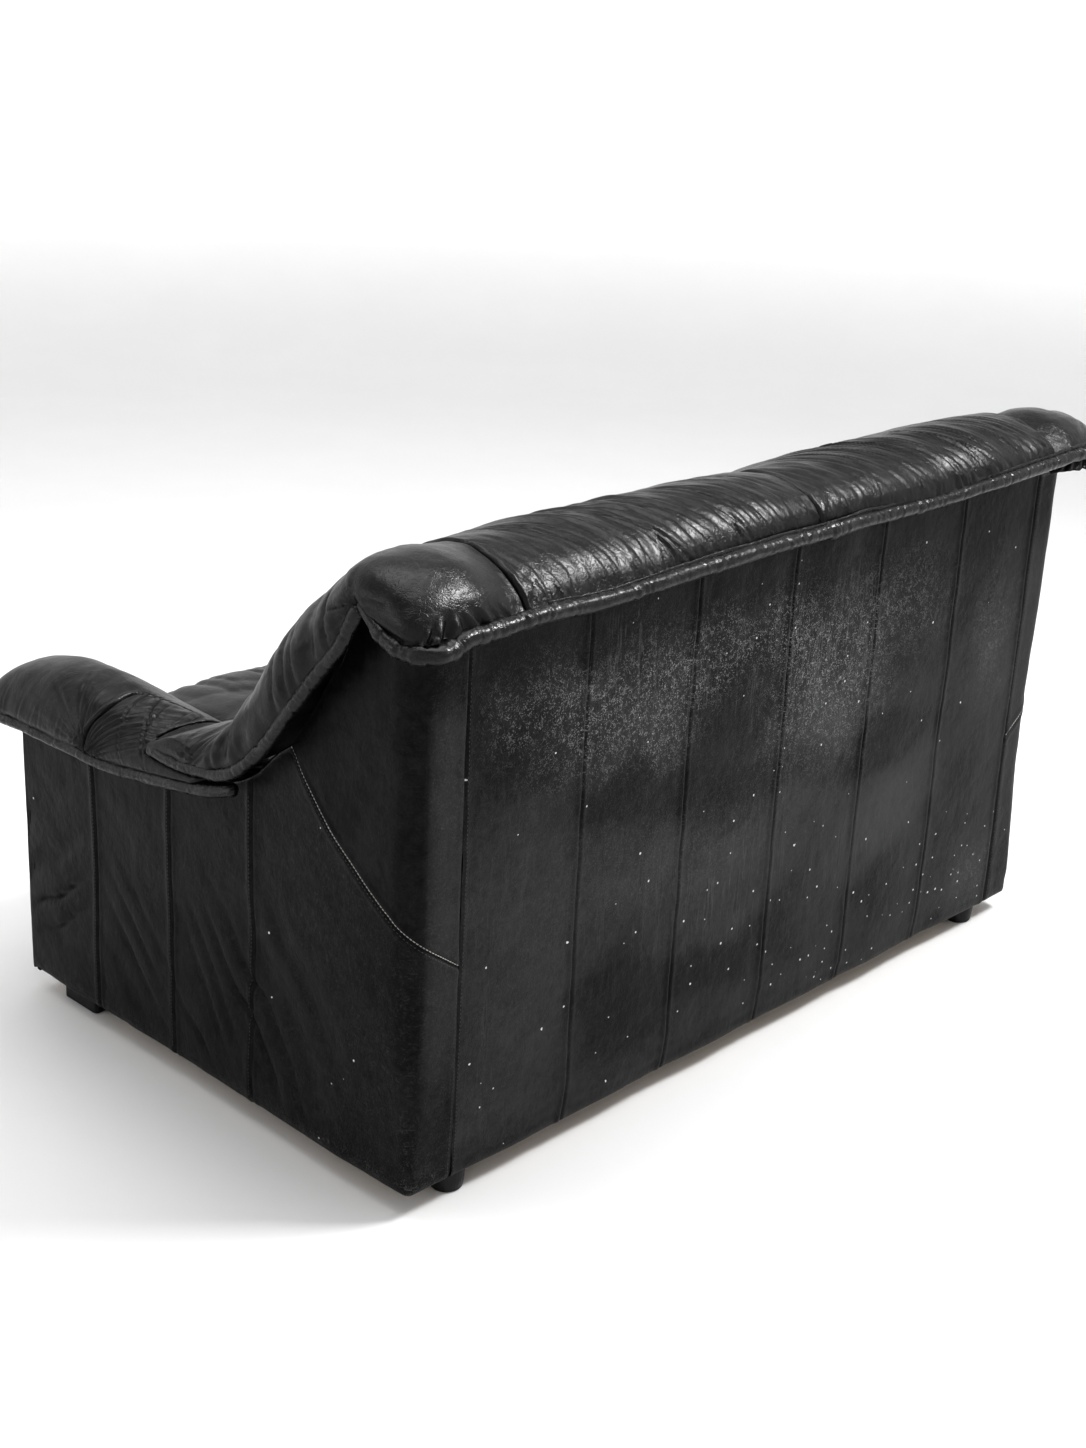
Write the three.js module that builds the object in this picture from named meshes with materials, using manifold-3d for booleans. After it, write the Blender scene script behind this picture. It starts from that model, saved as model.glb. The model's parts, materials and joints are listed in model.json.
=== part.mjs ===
// Two-seat leather sofa: timber frame, springs and webbing, outer covers, sewn pads, piped edges and feet.
// Millimetres, +Z up. X runs along the sofa, the sitter faces -Y, the sitter's left is +X.
// Drawn with the rear face of the outer back at y = 0 and the floor at z = 0; the outer group then
// moves everything so that the middle of the footprint lies on the origin.
import * as THREE from 'three';
import { mergeVertices } from 'three/addons/utils/BufferGeometryUtils.js';
import Module from 'manifold-3d';

// ---- driving dimensions -------------------------------------------------------------------
const BODY_W = 1400;          // across the two side covers
const BODY_D = 836;           // outer back to arm front
const FOOT_H = 35;            // clearance under the body
const COVER_T = 8;            // leather with its wadding and backing board
const CORNER_R = 40;          // rear vertical corners
const GAP = 0.4;              // assembly gap between neighbouring pieces
const BACK_TOP = 785;         // top edge of the outer back cover
const STRIP = 207;            // width of one strip of the outer back
const SEAM_END = 622.5;       // where the outer back meets the side covers
const SEAT_BOX_TOP = 245;     // top of the seat rails
const RAIL_T = 44;            // thickness of the seat rails and posts
const ARM_W = 188;            // arm, over its inner and outer covers
const ARM_TOP = 437;          // top edge of the arm covers and arm board
const ARM_PAD_TOP = 531;      // crown of the arm pad
const ARM_PAD_FRONT = -903;   // arm pad overhangs the arm front
const SEAT_TOP = 428;         // crown of the seat cushions
const SEAT_BOTTOM = 276;
const SEAT_FRONT = -886;
const BACK_PAD_TOP = 866;     // crown of the back pad
const PAD_SIDE = 720;         // outermost reach of the pads, past the side covers
const PAD_SEAM = 560;         // seam between a main back segment and a wing segment
const WELT_R = 10;            // piped edges
const WELT_SIDE = 732;        // centre of the piped edges past the sides
const WELT_REAR = 44;         // centre of the piped edge past the rear
const WIRE_R = 1.9;           // seat spring wire

const HW = BODY_W / 2;
const ARM_IN = HW - ARM_W;    // inner arm face

// ---- materials ----------------------------------------------------------------------------
const mat = (color, roughness, metalness = 0) => new THREE.MeshStandardMaterial({ color, roughness, metalness });
const leather = () => mat(0x1d1c1d, 0.42);
const leatherWorn = () => mat(0x3a3b3f, 0.6);
const timber = () => mat(0xb58c5a, 0.75);
const steel = () => mat(0x8b8d90, 0.4, 0.9);
const webbing = () => mat(0x4a4238, 0.9);
const fabric = () => mat(0x151515, 0.95);
const footPlastic = () => mat(0x0e0e0f, 0.5);

// ---- geometry helpers ---------------------------------------------------------------------
const wasm = await Module();
wasm.setup();

function toSolid(geometry) {
  const g = geometry.clone();
  g.deleteAttribute('normal');
  g.deleteAttribute('uv');
  const m = mergeVertices(g, 1e-3);
  return new wasm.Manifold(new wasm.Mesh({
    numProp: 3,
    vertProperties: new Float32Array(m.attributes.position.array),
    triVerts: new Uint32Array(m.index.array),
  }));
}

function fromSolid(solid) {
  const mesh = solid.getMesh();
  const g = new THREE.BufferGeometry();
  g.setAttribute('position', new THREE.BufferAttribute(new Float32Array(mesh.vertProperties), 3));
  g.setIndex(new THREE.BufferAttribute(new Uint32Array(mesh.triVerts), 1));
  return g;
}

const basis = (x, y, z) => new THREE.Matrix4().makeBasis(new THREE.Vector3(...x), new THREE.Vector3(...y), new THREE.Vector3(...z));
const shapeOf = (pts) => new THREE.Shape(pts.map(([a, b]) => new THREE.Vector2(a, b)));

// Outline in Y and Z, carried along X from x0 to x1, with its ends rounded over by `round`.
function alongX(pts, x0, x1, round = 0, steps = 2) {
  const lo = Math.min(x0, x1), hi = Math.max(x0, x1);
  const g = new THREE.ExtrudeGeometry(shapeOf(pts), {
    depth: hi - lo - 2 * round, steps: 1, bevelEnabled: round > 0,
    bevelThickness: round, bevelSize: round, bevelOffset: -round, bevelSegments: steps,
  });
  g.translate(0, 0, lo + round);
  return g.applyMatrix4(basis([0, 1, 0], [0, 0, 1], [1, 0, 0]));
}

// Outline in X and Y, carried up Z from z0 to z1.
function alongZ(pts, z0, z1, round = 0, steps = 2) {
  const g = new THREE.ExtrudeGeometry(shapeOf(pts), {
    depth: z1 - z0 - 2 * round, steps: 1, bevelEnabled: round > 0,
    bevelThickness: round, bevelSize: round, bevelOffset: -round, bevelSegments: steps,
  });
  return g.translate(0, 0, z0 + round);
}

function block(x0, x1, y0, y1, z0, z1) {
  const g = new THREE.BoxGeometry(x1 - x0, y1 - y0, z1 - z0);
  return g.translate((x0 + x1) / 2, (y0 + y1) / 2, (z0 + z1) / 2);
}

function tube(points, r, sides, steps) {
  const ring = [];
  for (let i = 0; i < sides; i++) {
    const a = (2 * Math.PI * (i + 0.5)) / sides;
    ring.push([r * Math.cos(a), r * Math.sin(a)]);
  }
  const path = new THREE.CatmullRomCurve3(points.map((p) => new THREE.Vector3(...p)), false, 'centripetal');
  return new THREE.ExtrudeGeometry(shapeOf(ring), { steps, extrudePath: path, bevelEnabled: false });
}

const roundedRect = (x0, x1, y0, y1, r, n = 3) => {
  const out = [];
  const corners = [[x1 - r, y1 - r, 0], [x0 + r, y1 - r, 90], [x0 + r, y0 + r, 180], [x1 - r, y0 + r, 270]];
  for (const [cx, cy, a0] of corners) {
    for (let i = 0; i <= n; i++) {
      const a = ((a0 + (90 * i) / n) * Math.PI) / 180;
      out.push([cx + r * Math.cos(a), cy + r * Math.sin(a)]);
    }
  }
  return out;
};

const sofa = new THREE.Group();
const body = new THREE.Group();
sofa.add(body);

function add(name, geometry, material, parent = body) {
  const mesh = new THREE.Mesh(geometry, material);
  mesh.name = name;
  parent.add(mesh);
  return mesh;
}

const sides = [['left', 1], ['right', -1]];   // the sitter's left is +X
const span = (s, a, b) => (s > 0 ? [a, b] : [-b, -a]);

// ---- outline of the back pad's lower edge past the side, (y, z), from the tongue to the rear ----
const wingEdge = [
  [-474, 506], [-409, 503], [-366, 508], [-332, 513], [-299, 527], [-265, 553], [-233, 585], [-195, 632],
  [-170, 659], [-146, 691], [-123, 718], [-100, 742], [-82, 776], [-62, 790], [-40, 788], [-18, 780], [0, 772], [28, 770],
];
// upper outline of the wing, from the rear to the tongue
const wingTop = [
  [31, 800], [24, 828], [0, 846], [-40, 858], [-75, 850], [-111, 828], [-154, 797], [-190, 765], [-222, 731],
  [-249, 698], [-268, 671], [-295, 636], [-323, 602], [-350, 566], [-390, 548], [-434, 536], [-466, 526], [-480, 516],
];
const armEdge = [[-836, 441], [-792, 445], [-697, 447], [-601, 447], [-508, 456], [-441, 466], [-380, 476], [-330, 488], [-305, 496]];
const slantSeam = [[-227, 568], [-207, 547], [-184, 520], [-143, 478], [-98, 445], [-61, 419], [-36, 402], [-18, 388], [12, 370]];

// ---- timber frame -------------------------------------------------------------------------
const Z0 = FOOT_H + 0.3;
const railIn = HW - 10 - RAIL_T;              // inner face of the side rails
const rearIn = -10 - RAIL_T;                  // inner face of the rear rail
const frontIn = -BODY_D + 10 + RAIL_T;        // inner face of the front rail
const postOut = 655;                          // the rear posts stand inside the rounded corners
const STUD_R = 4;
const FRONT_FOOT = { x: 652, y: -744, w: 60, d: 80, stud: 664 };
const REAR_FOOT = { x: 601, y: -33, r: 24.5 };

const stud = (x, y, r, z0, z1) => {
  const g = new THREE.CylinderGeometry(r, r, z1 - z0, 12);
  g.rotateX(Math.PI / 2);
  return g.translate(x, y, (z0 + z1) / 2);
};

const drill = (geometry, holes) => {
  let s = toSolid(geometry);
  for (const h of holes) s = s.subtract(toSolid(h));
  return fromSolid(s);
};

add('rail_front', block(-(HW - 10), HW - 10, -BODY_D + 10, frontIn - GAP, Z0, SEAT_BOX_TOP), timber());
add('rail_rear', drill(block(-postOut, postOut, rearIn, -10, Z0, SEAT_BOX_TOP), sides.map(([, s]) => stud(s * REAR_FOOT.x, REAR_FOOT.y, STUD_R + GAP, 20, 75 + GAP))), timber());
for (const [n, s] of sides) {
  const [x0, x1] = span(s, railIn, HW - 10);
  add(`rail_${n}`, drill(block(x0, x1, frontIn, rearIn - GAP, Z0, SEAT_BOX_TOP), [stud(s * FRONT_FOOT.stud, FRONT_FOOT.y, STUD_R + GAP, 20, 75 + GAP)]), timber());
}
add('rail_centre', block(-RAIL_T / 2, RAIL_T / 2, frontIn, rearIn - GAP, 150, 220), timber());
for (const [n, s] of sides) {
  const a = railIn - GAP, b = railIn - 100;
  add(`corner_block_front_${n}`, alongZ([[s * a, frontIn + GAP], [s * a, frontIn + 100], [s * b, frontIn + GAP]], 110, 200), timber());
  add(`corner_block_rear_${n}`, alongZ([[s * a, rearIn - GAP], [s * b, rearIn - GAP], [s * a, rearIn - 100]], 110, 200), timber());
  const [p0, p1] = span(s, postOut - RAIL_T, postOut);
  add(`post_rear_${n}`, block(p0, p1, rearIn, -10, SEAT_BOX_TOP + GAP, 720), timber());
  const [q0, q1] = span(s, 620, HW - 10);
  add(`post_arm_${n}`, block(q0, q1, -BODY_D + 10, frontIn - GAP, SEAT_BOX_TOP + GAP, 410 - GAP), timber());
  const [a0, a1] = span(s, ARM_IN + COVER_T + 1, HW - COVER_T - 4);
  add(`arm_board_${n}`, block(a0, a1, -BODY_D + 10, rearIn - GAP, 410, ARM_TOP), timber());
  const [w0, w1] = span(s, postOut + 6, postOut + 30);
  add(`wing_board_${n}`, alongX([[-56, ARM_TOP + GAP], [-56, 735], [-92, 733], [-146, 664], [-195, 605], [-240, 555], [-285, 497], [-285, ARM_TOP + GAP]], w0, w1), timber());
}
add('post_rear_centre', block(-RAIL_T / 2, RAIL_T / 2, rearIn, -10, SEAT_BOX_TOP + GAP, 720), timber());
add('rail_back_top', block(-postOut, postOut, rearIn, -10, 720 + GAP, 760), timber());
add('rail_back_mid', block(-640, 640, rearIn - 22, rearIn - GAP, 440 + GAP, 500), timber());

// ---- springs, webbing and dust cover ------------------------------------------------------
const springX = [112, 256, 400];
for (const [n, s] of sides) {
  springX.forEach((x, k) => {
    const pts = [];
    const bends = 17, y0 = -806, y1 = -34;
    for (let i = 0; i <= bends; i++) {
      const t = i / bends;
      const side = i === 0 || i === bends ? 0 : i % 2 ? 24 : -24;
      pts.push([s * x + side, y0 + (y1 - y0) * t, SEAT_BOX_TOP + WIRE_R + GAP + 18 * Math.sin(Math.PI * t)]);
    }
    add(`seat_spring_${n}_${k + 1}`, tube(pts, WIRE_R, 4, 34), steel());
  });
}
add('back_web_lower', block(-640, 640, rearIn - 2.4, rearIn - GAP, 545, 605), webbing());
add('back_web_upper', block(-640, 640, rearIn - 2.4, rearIn - GAP, 640, 700), webbing());
add('dust_cover', block(-(railIn - 1), railIn - 1, frontIn + 0.5, rearIn - 1, Z0, Z0 + 1.4), fabric());

// ---- feet ---------------------------------------------------------------------------------
for (const [n, s] of sides) {
  const { x, y, w, d } = FRONT_FOOT;
  const foot = alongZ(roundedRect(s * x - w / 2, s * x + w / 2, y - d / 2, y + d / 2, 6, 2), 0, FOOT_H, 2, 1);
  add(`foot_front_${n}`, drill(foot, [stud(s * FRONT_FOOT.stud, y, STUD_R + GAP, 12, 50)]), footPlastic());
  const r = REAR_FOOT.r;
  const lathe = new THREE.LatheGeometry([[0, 0], [r - 5, 0], [r - 3, 2], [r - 1.5, 10], [r, 28], [r, FOOT_H], [0, FOOT_H]].map(([a, b]) => new THREE.Vector2(a, b)), 28);
  lathe.rotateX(Math.PI / 2);
  lathe.translate(s * REAR_FOOT.x, REAR_FOOT.y, 0);
  add(`foot_rear_${n}`, drill(lathe, [stud(s * REAR_FOOT.x, REAR_FOOT.y, STUD_R + GAP, 12, 50)]), footPlastic());
  add(`foot_stud_front_${n}`, stud(s * FRONT_FOOT.stud, y, STUD_R, 12 + GAP, 75), steel());
  add(`foot_stud_rear_${n}`, stud(s * REAR_FOOT.x, REAR_FOOT.y, STUD_R, 12 + GAP, 75), steel());
}

// ---- outer covers -------------------------------------------------------------------------
// The outer back is six sewn strips: shallow vertical grooves mark the seams.
{
  const e = SEAM_END - GAP;
  const rear = [[-e, 0]];
  for (let k = -2; k <= 2; k++) rear.push([k * STRIP - 4, 0], [k * STRIP, -2.5], [k * STRIP + 4, 0]);
  rear.push([e, 0], [e, -COVER_T], [-e, -COVER_T]);
  // its top edge drops under the wing segments of the pad
  const drops = sides.map(([, side]) => block(...span(side, PAD_SEAM - 6, e + 20), -20, 20, 764, BACK_TOP + 20));
  add('outer_back_cover', drill(alongZ(rear, FOOT_H, BACK_TOP), drops), leatherWorn());
}

// Side skin in plan: it runs along the side, round the rear corner and up to the end seam of the outer back.
const skinPlan = (s) => {
  const pts = [[SEAM_END, 0], [HW - CORNER_R, 0]];
  for (let i = 1; i <= 6; i++) {
    const a = Math.PI / 2 - (Math.PI / 2) * (i / 6);
    pts.push([HW - CORNER_R + CORNER_R * Math.cos(a), -CORNER_R + CORNER_R * Math.sin(a)]);
  }
  pts.push([HW, -BODY_D], [HW - COVER_T, -BODY_D], [HW - COVER_T, -CORNER_R]);
  for (let i = 5; i >= 0; i--) {
    const a = Math.PI / 2 - (Math.PI / 2) * (i / 6);
    const r = CORNER_R - COVER_T;
    pts.push([HW - CORNER_R + r * Math.cos(a), -CORNER_R + r * Math.sin(a)]);
  }
  pts.push([SEAM_END, -COVER_T]);
  return pts.map(([x, y]) => [s * x, y]);
};
const lower = [[-850, FOOT_H - 10], [-850, ARM_TOP - 4], ...armEdge.map(([y, z]) => [y, z - 9]), [-292, 505], [-262, 538], ...slantSeam, [12, FOOT_H - 10]];
const upper = [...slantSeam.map(([y, z]) => [y, z + 0.8]), [12, 758], [-60, 764], [-84, 757], [-100, 731], [-123, 706], [-146, 679], [-170, 648], [-195, 620], [-226, 580]];
for (const [n, s] of sides) {
  const skin = toSolid(alongZ(skinPlan(s), FOOT_H, 800));
  const [x0, x1] = span(s, 600, 740);
  add(`side_cover_${n}`, fromSolid(skin.intersect(toSolid(alongX(lower, x0, x1)))), leather());
  add(`wing_cover_${n}`, fromSolid(skin.intersect(toSolid(alongX(upper, x0, x1)))), leather());
  const [a0, a1] = span(s, ARM_IN + GAP, HW - COVER_T - GAP);
  add(`arm_front_cover_${n}`, block(a0, a1, -BODY_D, -BODY_D + COVER_T, FOOT_H, ARM_TOP), leather());
  const [i0, i1] = span(s, ARM_IN, ARM_IN + COVER_T);
  add(`arm_inner_cover_${n}`, block(i0, i1, -BODY_D + COVER_T + GAP, rearIn - 24, SEAT_BOX_TOP + GAP, ARM_TOP), leather());
}
add('front_cover', block(-ARM_IN, ARM_IN, -BODY_D, -BODY_D + COVER_T, FOOT_H, SEAT_BOTTOM - 6), leather());

// ---- sewn pads ----------------------------------------------------------------------------
const armPad = [
  [ARM_PAD_FRONT + 12, ARM_TOP + 5], [ARM_PAD_FRONT, 465], [ARM_PAD_FRONT + 4, 495], [ARM_PAD_FRONT + 26, 519], [ARM_PAD_FRONT + 70, ARM_PAD_TOP],
  [-700, ARM_PAD_TOP], [-600, 527], [-520, 514], [-492, 500], [-420, 498], [-350, 500], [-318, 503], [-300, 494], [-294, 470], [-300, ARM_TOP + 5],
];
const backPad = [
  [-10, 766], [-10, 790], [26, 792], [31, 812], [24, 836], [0, 853], [-40, 864], [-80, BACK_PAD_TOP], [-125, 858], [-180, 832],
  [-225, 790], [-256, 730], [-280, 640], [-302, 545], [-308, 470], [-296, SEAT_TOP + 5], [-100, SEAT_TOP + 5], [-82, 450], [-82, 766],
];
for (const [n, s] of sides) {
  // under its outer edge the pad clears the rising top of the side cover
  const rise = alongX([[-620, 400], ...armEdge.slice(3).map(([y, z]) => [y, z - 4]), [-250, 520], [-250, 400]], s * (HW - COVER_T - 4), s * (PAD_SIDE + 20));
  add(`arm_pad_${n}`, drill(alongX(armPad, s * (ARM_IN - 6), s * PAD_SIDE, 16), [rise]), leather());

  add(`wing_pad_${n}`, alongX([...wingEdge, ...wingTop], s * (PAD_SEAM + 3), s * PAD_SIDE, 3, 1), leather());

  const [c0, c1] = span(s, ARM_IN - 8, PAD_SEAM + 40);
  const notch = toSolid(block(c0, c1, -420, 60, 400, 507));
  add(`back_pad_${n}`, fromSolid(toSolid(alongX(backPad, s * 4, s * (PAD_SEAM - 3), 8, 1)).subtract(notch)), leather());

  const [s0, s1] = span(s, 3, ARM_IN - 4);
  add(`seat_cushion_${n}`, alongZ(roundedRect(s0, s1, SEAT_FRONT, -84, 45), SEAT_BOTTOM, SEAT_TOP, 32, 3), leather());
}

// ---- piped edges --------------------------------------------------------------------------
add('welt_rear', tube([
  [692, WELT_REAR, 771], [645, WELT_REAR, 779], [555, WELT_REAR, 783], [390, WELT_REAR, 783], [184, WELT_REAR, 789], [0, WELT_REAR, 793],
  [-200, WELT_REAR, 796], [-420, WELT_REAR, 803], [-600, WELT_REAR, 811], [-692, WELT_REAR, 805],
], WELT_R, 8, 30), leather());
for (const [n, s] of sides) {
  const up = s > 0 ? 0 : 26;   // the far end of the rear edge rides higher
  add(`welt_wing_${n}`, tube([
    ...wingEdge.slice(0, 14).map(([y, z]) => [s * WELT_SIDE, y, z + (y > -70 ? 8 : 2)]),
    [s * WELT_SIDE, -30, 788 + up * 0.4], [s * WELT_SIDE, 4, 771 + up * 0.8], [s * (WELT_SIDE - 1), 38, 767 + up], [s * 704, WELT_REAR + 1, 768 + up],
  ], WELT_R, 8, 42), leather());
  add(`welt_arm_${n}`, tube([
    [s * (WELT_SIDE - 22), -880, 429], [s * WELT_SIDE, -862, 437], ...armEdge.slice(1, 7).map(([y, z]) => [s * WELT_SIDE, y, z]), [s * WELT_SIDE, -340, 484],
  ], WELT_R, 8, 24), leather());
}

// the middle of the footprint goes to the origin
const extent = new THREE.Box3().setFromObject(body, true);
body.position.y = -(extent.min.y + extent.max.y) / 2;

export default sofa;
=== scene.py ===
# Worn two-seat leather sofa: the looks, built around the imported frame.
import bpy
import json
import math
import numpy as np
from mathutils import Matrix, Vector


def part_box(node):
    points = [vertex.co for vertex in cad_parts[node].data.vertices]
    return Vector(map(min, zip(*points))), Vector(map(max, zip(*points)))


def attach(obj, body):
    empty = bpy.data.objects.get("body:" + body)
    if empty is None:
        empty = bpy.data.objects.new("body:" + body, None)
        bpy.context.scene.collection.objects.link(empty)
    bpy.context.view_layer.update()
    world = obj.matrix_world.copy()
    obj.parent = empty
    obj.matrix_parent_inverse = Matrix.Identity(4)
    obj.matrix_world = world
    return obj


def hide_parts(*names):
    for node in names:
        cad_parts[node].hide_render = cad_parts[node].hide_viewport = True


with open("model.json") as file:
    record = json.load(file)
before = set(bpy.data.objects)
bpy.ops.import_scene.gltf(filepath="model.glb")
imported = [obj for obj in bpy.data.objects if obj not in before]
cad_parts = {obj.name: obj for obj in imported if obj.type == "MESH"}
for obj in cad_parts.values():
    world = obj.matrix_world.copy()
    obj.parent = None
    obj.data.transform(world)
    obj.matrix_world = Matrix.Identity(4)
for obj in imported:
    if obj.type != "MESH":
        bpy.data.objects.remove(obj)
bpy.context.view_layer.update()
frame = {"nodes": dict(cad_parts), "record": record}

# The working frame of every function below: millimetres, y = 0 on the rear face of the outer back.
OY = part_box("outer_back_cover")[1].y


def M(p):
    q = np.asarray(p, float) / 1000.0
    q[..., 1] += OY
    return q


# ------------------------------------------------------------------ noise
_rng = np.random.RandomState(4127)
_T1 = _rng.uniform(-1, 1, 8192)
_T2 = _rng.uniform(-1, 1, (512, 512))


def _fade(t):
    return t * t * t * (t * (6 * t - 15) + 10)


def n1(x, seed=0):
    x = np.asarray(x, float) + seed * 37.31
    i = np.floor(x).astype(int)
    f = _fade(x - i)
    return _T1[i & 8191] * (1 - f) + _T1[(i + 1) & 8191] * f


def n2(x, y, seed=0):
    x = np.asarray(x, float) + seed * 17.13
    y = np.asarray(y, float) + seed * 29.71
    i, j = np.floor(x).astype(int), np.floor(y).astype(int)
    f, g = _fade(x - i), _fade(y - j)
    a, b = _T2[i & 511, j & 511], _T2[(i + 1) & 511, j & 511]
    c, d = _T2[i & 511, (j + 1) & 511], _T2[(i + 1) & 511, (j + 1) & 511]
    return (a * (1 - f) + b * f) * (1 - g) + (c * (1 - f) + d * f) * g


def fbm2(x, y, seed=0, octaves=3):
    s, a = 0.0, 1.0
    for k in range(octaves):
        s = s + a * n2(x * 2 ** k, y * 2 ** k, seed + 5 * k)
        a *= 0.5
    return s


def gauss(x, w):
    return np.exp(-(x / w) ** 2)


def smooth(a, b, x):
    t = np.clip((np.asarray(x, float) - a) / (b - a), 0, 1)
    return t * t * (3 - 2 * t)


def crease(t, w):
    """One fold across t: a sharp valley with a round ridge beside it."""
    return -1.1 * gauss(t, w * 0.62) + 0.95 * gauss(t - 1.6 * w, w * 1.05) + 0.3 * gauss(t + 1.6 * w, w * 1.2)


def fan(Y, A, y0, a0, rows):
    """Folds running out from one point. rows: (angle in degrees, bow, width, height, nearest, reach)."""
    r = np.hypot(Y - y0, A - a0) + 1e-3
    an = np.arctan2(A - a0, Y - y0)
    d = np.zeros_like(r)
    for deg, bow, w, amp, near, reach in rows:
        off = (an - np.radians(deg) - bow * r / 100.0)
        d += amp * crease(off * r, w * (0.45 + r / 110.0)) * smooth(near * 0.4, near, r) * np.exp(-np.clip(r - near, 0, None) / reach) * (np.abs(off) < 0.7)
    return d


def billow(x, seed=0):
    """Round ridges with sharp valleys between, about -1 to 1."""
    return 0.55 - 2.0 * (1 - np.abs(n1(x, seed))) ** 3


def table(pts):
    """Smooth curve through the given rows, read by its first column."""
    a = np.array(sorted(pts), float)
    x, v = a[:, 0], a[:, 1:]
    d = np.diff(v, axis=0) / np.diff(x)[:, None]
    m = np.zeros_like(v)
    m[1:-1] = np.where(d[:-1] * d[1:] > 0, 2 * d[:-1] * d[1:] / (d[:-1] + d[1:] + 1e-12), 0)
    m[0], m[-1] = d[0], d[-1]

    def f(q):
        q = np.clip(np.asarray(q, float), x[0], x[-1])
        k = np.clip(np.searchsorted(x, q) - 1, 0, len(x) - 2)
        h = (x[k + 1] - x[k])
        t = (q - x[k]) / h
        t, h = t[..., None], h[..., None]
        r = ((1 + 2 * t) * (1 - t) ** 2 * v[k] + t * (1 - t) ** 2 * h * m[k]
             + t * t * (3 - 2 * t) * v[k + 1] + t * t * (t - 1) * h * m[k + 1])
        return r[..., 0] if v.shape[1] == 1 else r
    return f


def catmull(points, n, closed=False):
    """n points evenly spaced along a smooth curve through the given ones."""
    p = np.array(points, float)
    if closed:
        p = np.vstack([p[-1], p, p[0], p[1]])
    else:
        p = np.vstack([2 * p[0] - p[1], p, 2 * p[-1] - p[-2]])
    out = []
    for i in range(1, len(p) - 2):
        t = np.linspace(0, 1, 24, endpoint=False)[:, None]
        p0, p1, p2, p3 = p[i - 1], p[i], p[i + 1], p[i + 2]
        out.append(0.5 * (2 * p1 + (p2 - p0) * t + (2 * p0 - 5 * p1 + 4 * p2 - p3) * t ** 2 + (3 * p1 - p0 - 3 * p2 + p3) * t ** 3))
    out = np.vstack(out + [p[-2][None]])
    s = np.concatenate([[0], np.cumsum(np.linalg.norm(np.diff(out, axis=0), axis=1))])
    q = np.linspace(0, s[-1], n, endpoint=not closed)
    return np.stack([np.interp(q, s, out[:, k]) for k in range(p.shape[1])], 1)


def steps(a, b, coarse, near=(), fine=1.2, reach=9):
    """Stations from a to b, dense around the places in `near`."""
    out, x = [a], a
    while x < b - 1e-6:
        d = min([abs(x - n) for n in near] + [1e9])
        step = fine if d < reach else min(coarse, fine + (d - reach) * 0.35)
        nxt = x + step
        for n in near:
            if x < n - reach < nxt:
                nxt = n - reach
        x = nxt
        out.append(min(x, b))
    if len(out) > 2 and out[-1] - out[-2] < fine * 0.5:
        out.pop(-2)
    return np.array(out)


# ------------------------------------------------------------------ meshes
def make(name, verts_mm, faces, mat, smooth_shade=True):
    me = bpy.data.meshes.new(name)
    me.from_pydata(M(verts_mm).tolist(), [], faces)
    me.validate()
    me.update()
    if smooth_shade:
        me.shade_smooth()
    ob = bpy.data.objects.new(name, me)
    bpy.context.scene.collection.objects.link(ob)
    me.materials.append(mat)
    return ob


def grid_faces(n, m, wrap=False, base=0, flip=False):
    f = []
    for i in range(n - 1):
        for j in range(m if wrap else m - 1):
            a, b = base + i * m + j, base + i * m + (j + 1) % m
            c, d = base + (i + 1) * m + (j + 1) % m, base + (i + 1) * m + j
            f.append((a, d, c, b) if flip else (a, b, c, d))
    return f


def normals(P):
    """Unit normals of a grid of points (columns, rows, 3)."""
    du = np.gradient(P, axis=0)
    dv = np.gradient(P, axis=1)
    n = np.cross(du, dv)
    return n / (np.linalg.norm(n, axis=2, keepdims=True) + 1e-9)


def orient(ob):
    """Makes the faces of a closed mesh point out."""
    me = ob.data
    co = np.zeros(len(me.vertices) * 3)
    me.vertices.foreach_get("co", co)
    co = co.reshape(-1, 3)
    me.calc_loop_triangles()
    t = np.zeros(len(me.loop_triangles) * 3, int)
    me.loop_triangles.foreach_get("vertices", t)
    t = t.reshape(-1, 3)
    v = np.einsum("ij,ij->i", co[t[:, 0]], np.cross(co[t[:, 1]], co[t[:, 2]])).sum()
    if v < 0:
        me.flip_normals()
    return ob


def loft(name, rings, mat, caps=True):
    """Closed solid through closed rings, (stations, points, 3), its ends filled."""
    R = np.asarray(rings, float)
    n, m = R.shape[:2]
    verts, faces = [R.reshape(-1, 3)], grid_faces(n, m, wrap=True)
    if caps:
        base = n * m
        for end, k in ((0, 0), (1, n - 1)):
            verts.append(R[k].mean(0)[None])
            for j in range(m):
                a, b = k * m + j, k * m + (j + 1) % m
                faces.append((base + end, a, b) if end else (base + end, b, a))
    return orient(make(name, np.vstack(verts), faces, mat))


def panel(name, P, N, thick, mat):
    """Closed sheet: a fine outer face (columns, rows, 3), a plain inner face and four edges."""
    n, m = P.shape[:2]
    lo = P[:, 0] - N[:, 0] * thick
    hi = P[:, -1] - N[:, -1] * thick
    verts = np.vstack([P.reshape(-1, 3), lo, hi])
    L, H = n * m, n * m + n
    faces = grid_faces(n, m, flip=True)
    for i in range(n - 1):
        faces.append((L + i, L + i + 1, H + i + 1, H + i))
        faces.append((i * m, (i + 1) * m, L + i + 1, L + i))
        faces.append((i * m + m - 1, H + i, H + i + 1, (i + 1) * m + m - 1))
    faces.append(tuple([L, H] + [0 * m + j for j in range(m - 1, -1, -1)]))
    faces.append(tuple([H + n - 1, L + n - 1] + [(n - 1) * m + j for j in range(m)]))
    return orient(make(name, verts, faces, mat))


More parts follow.
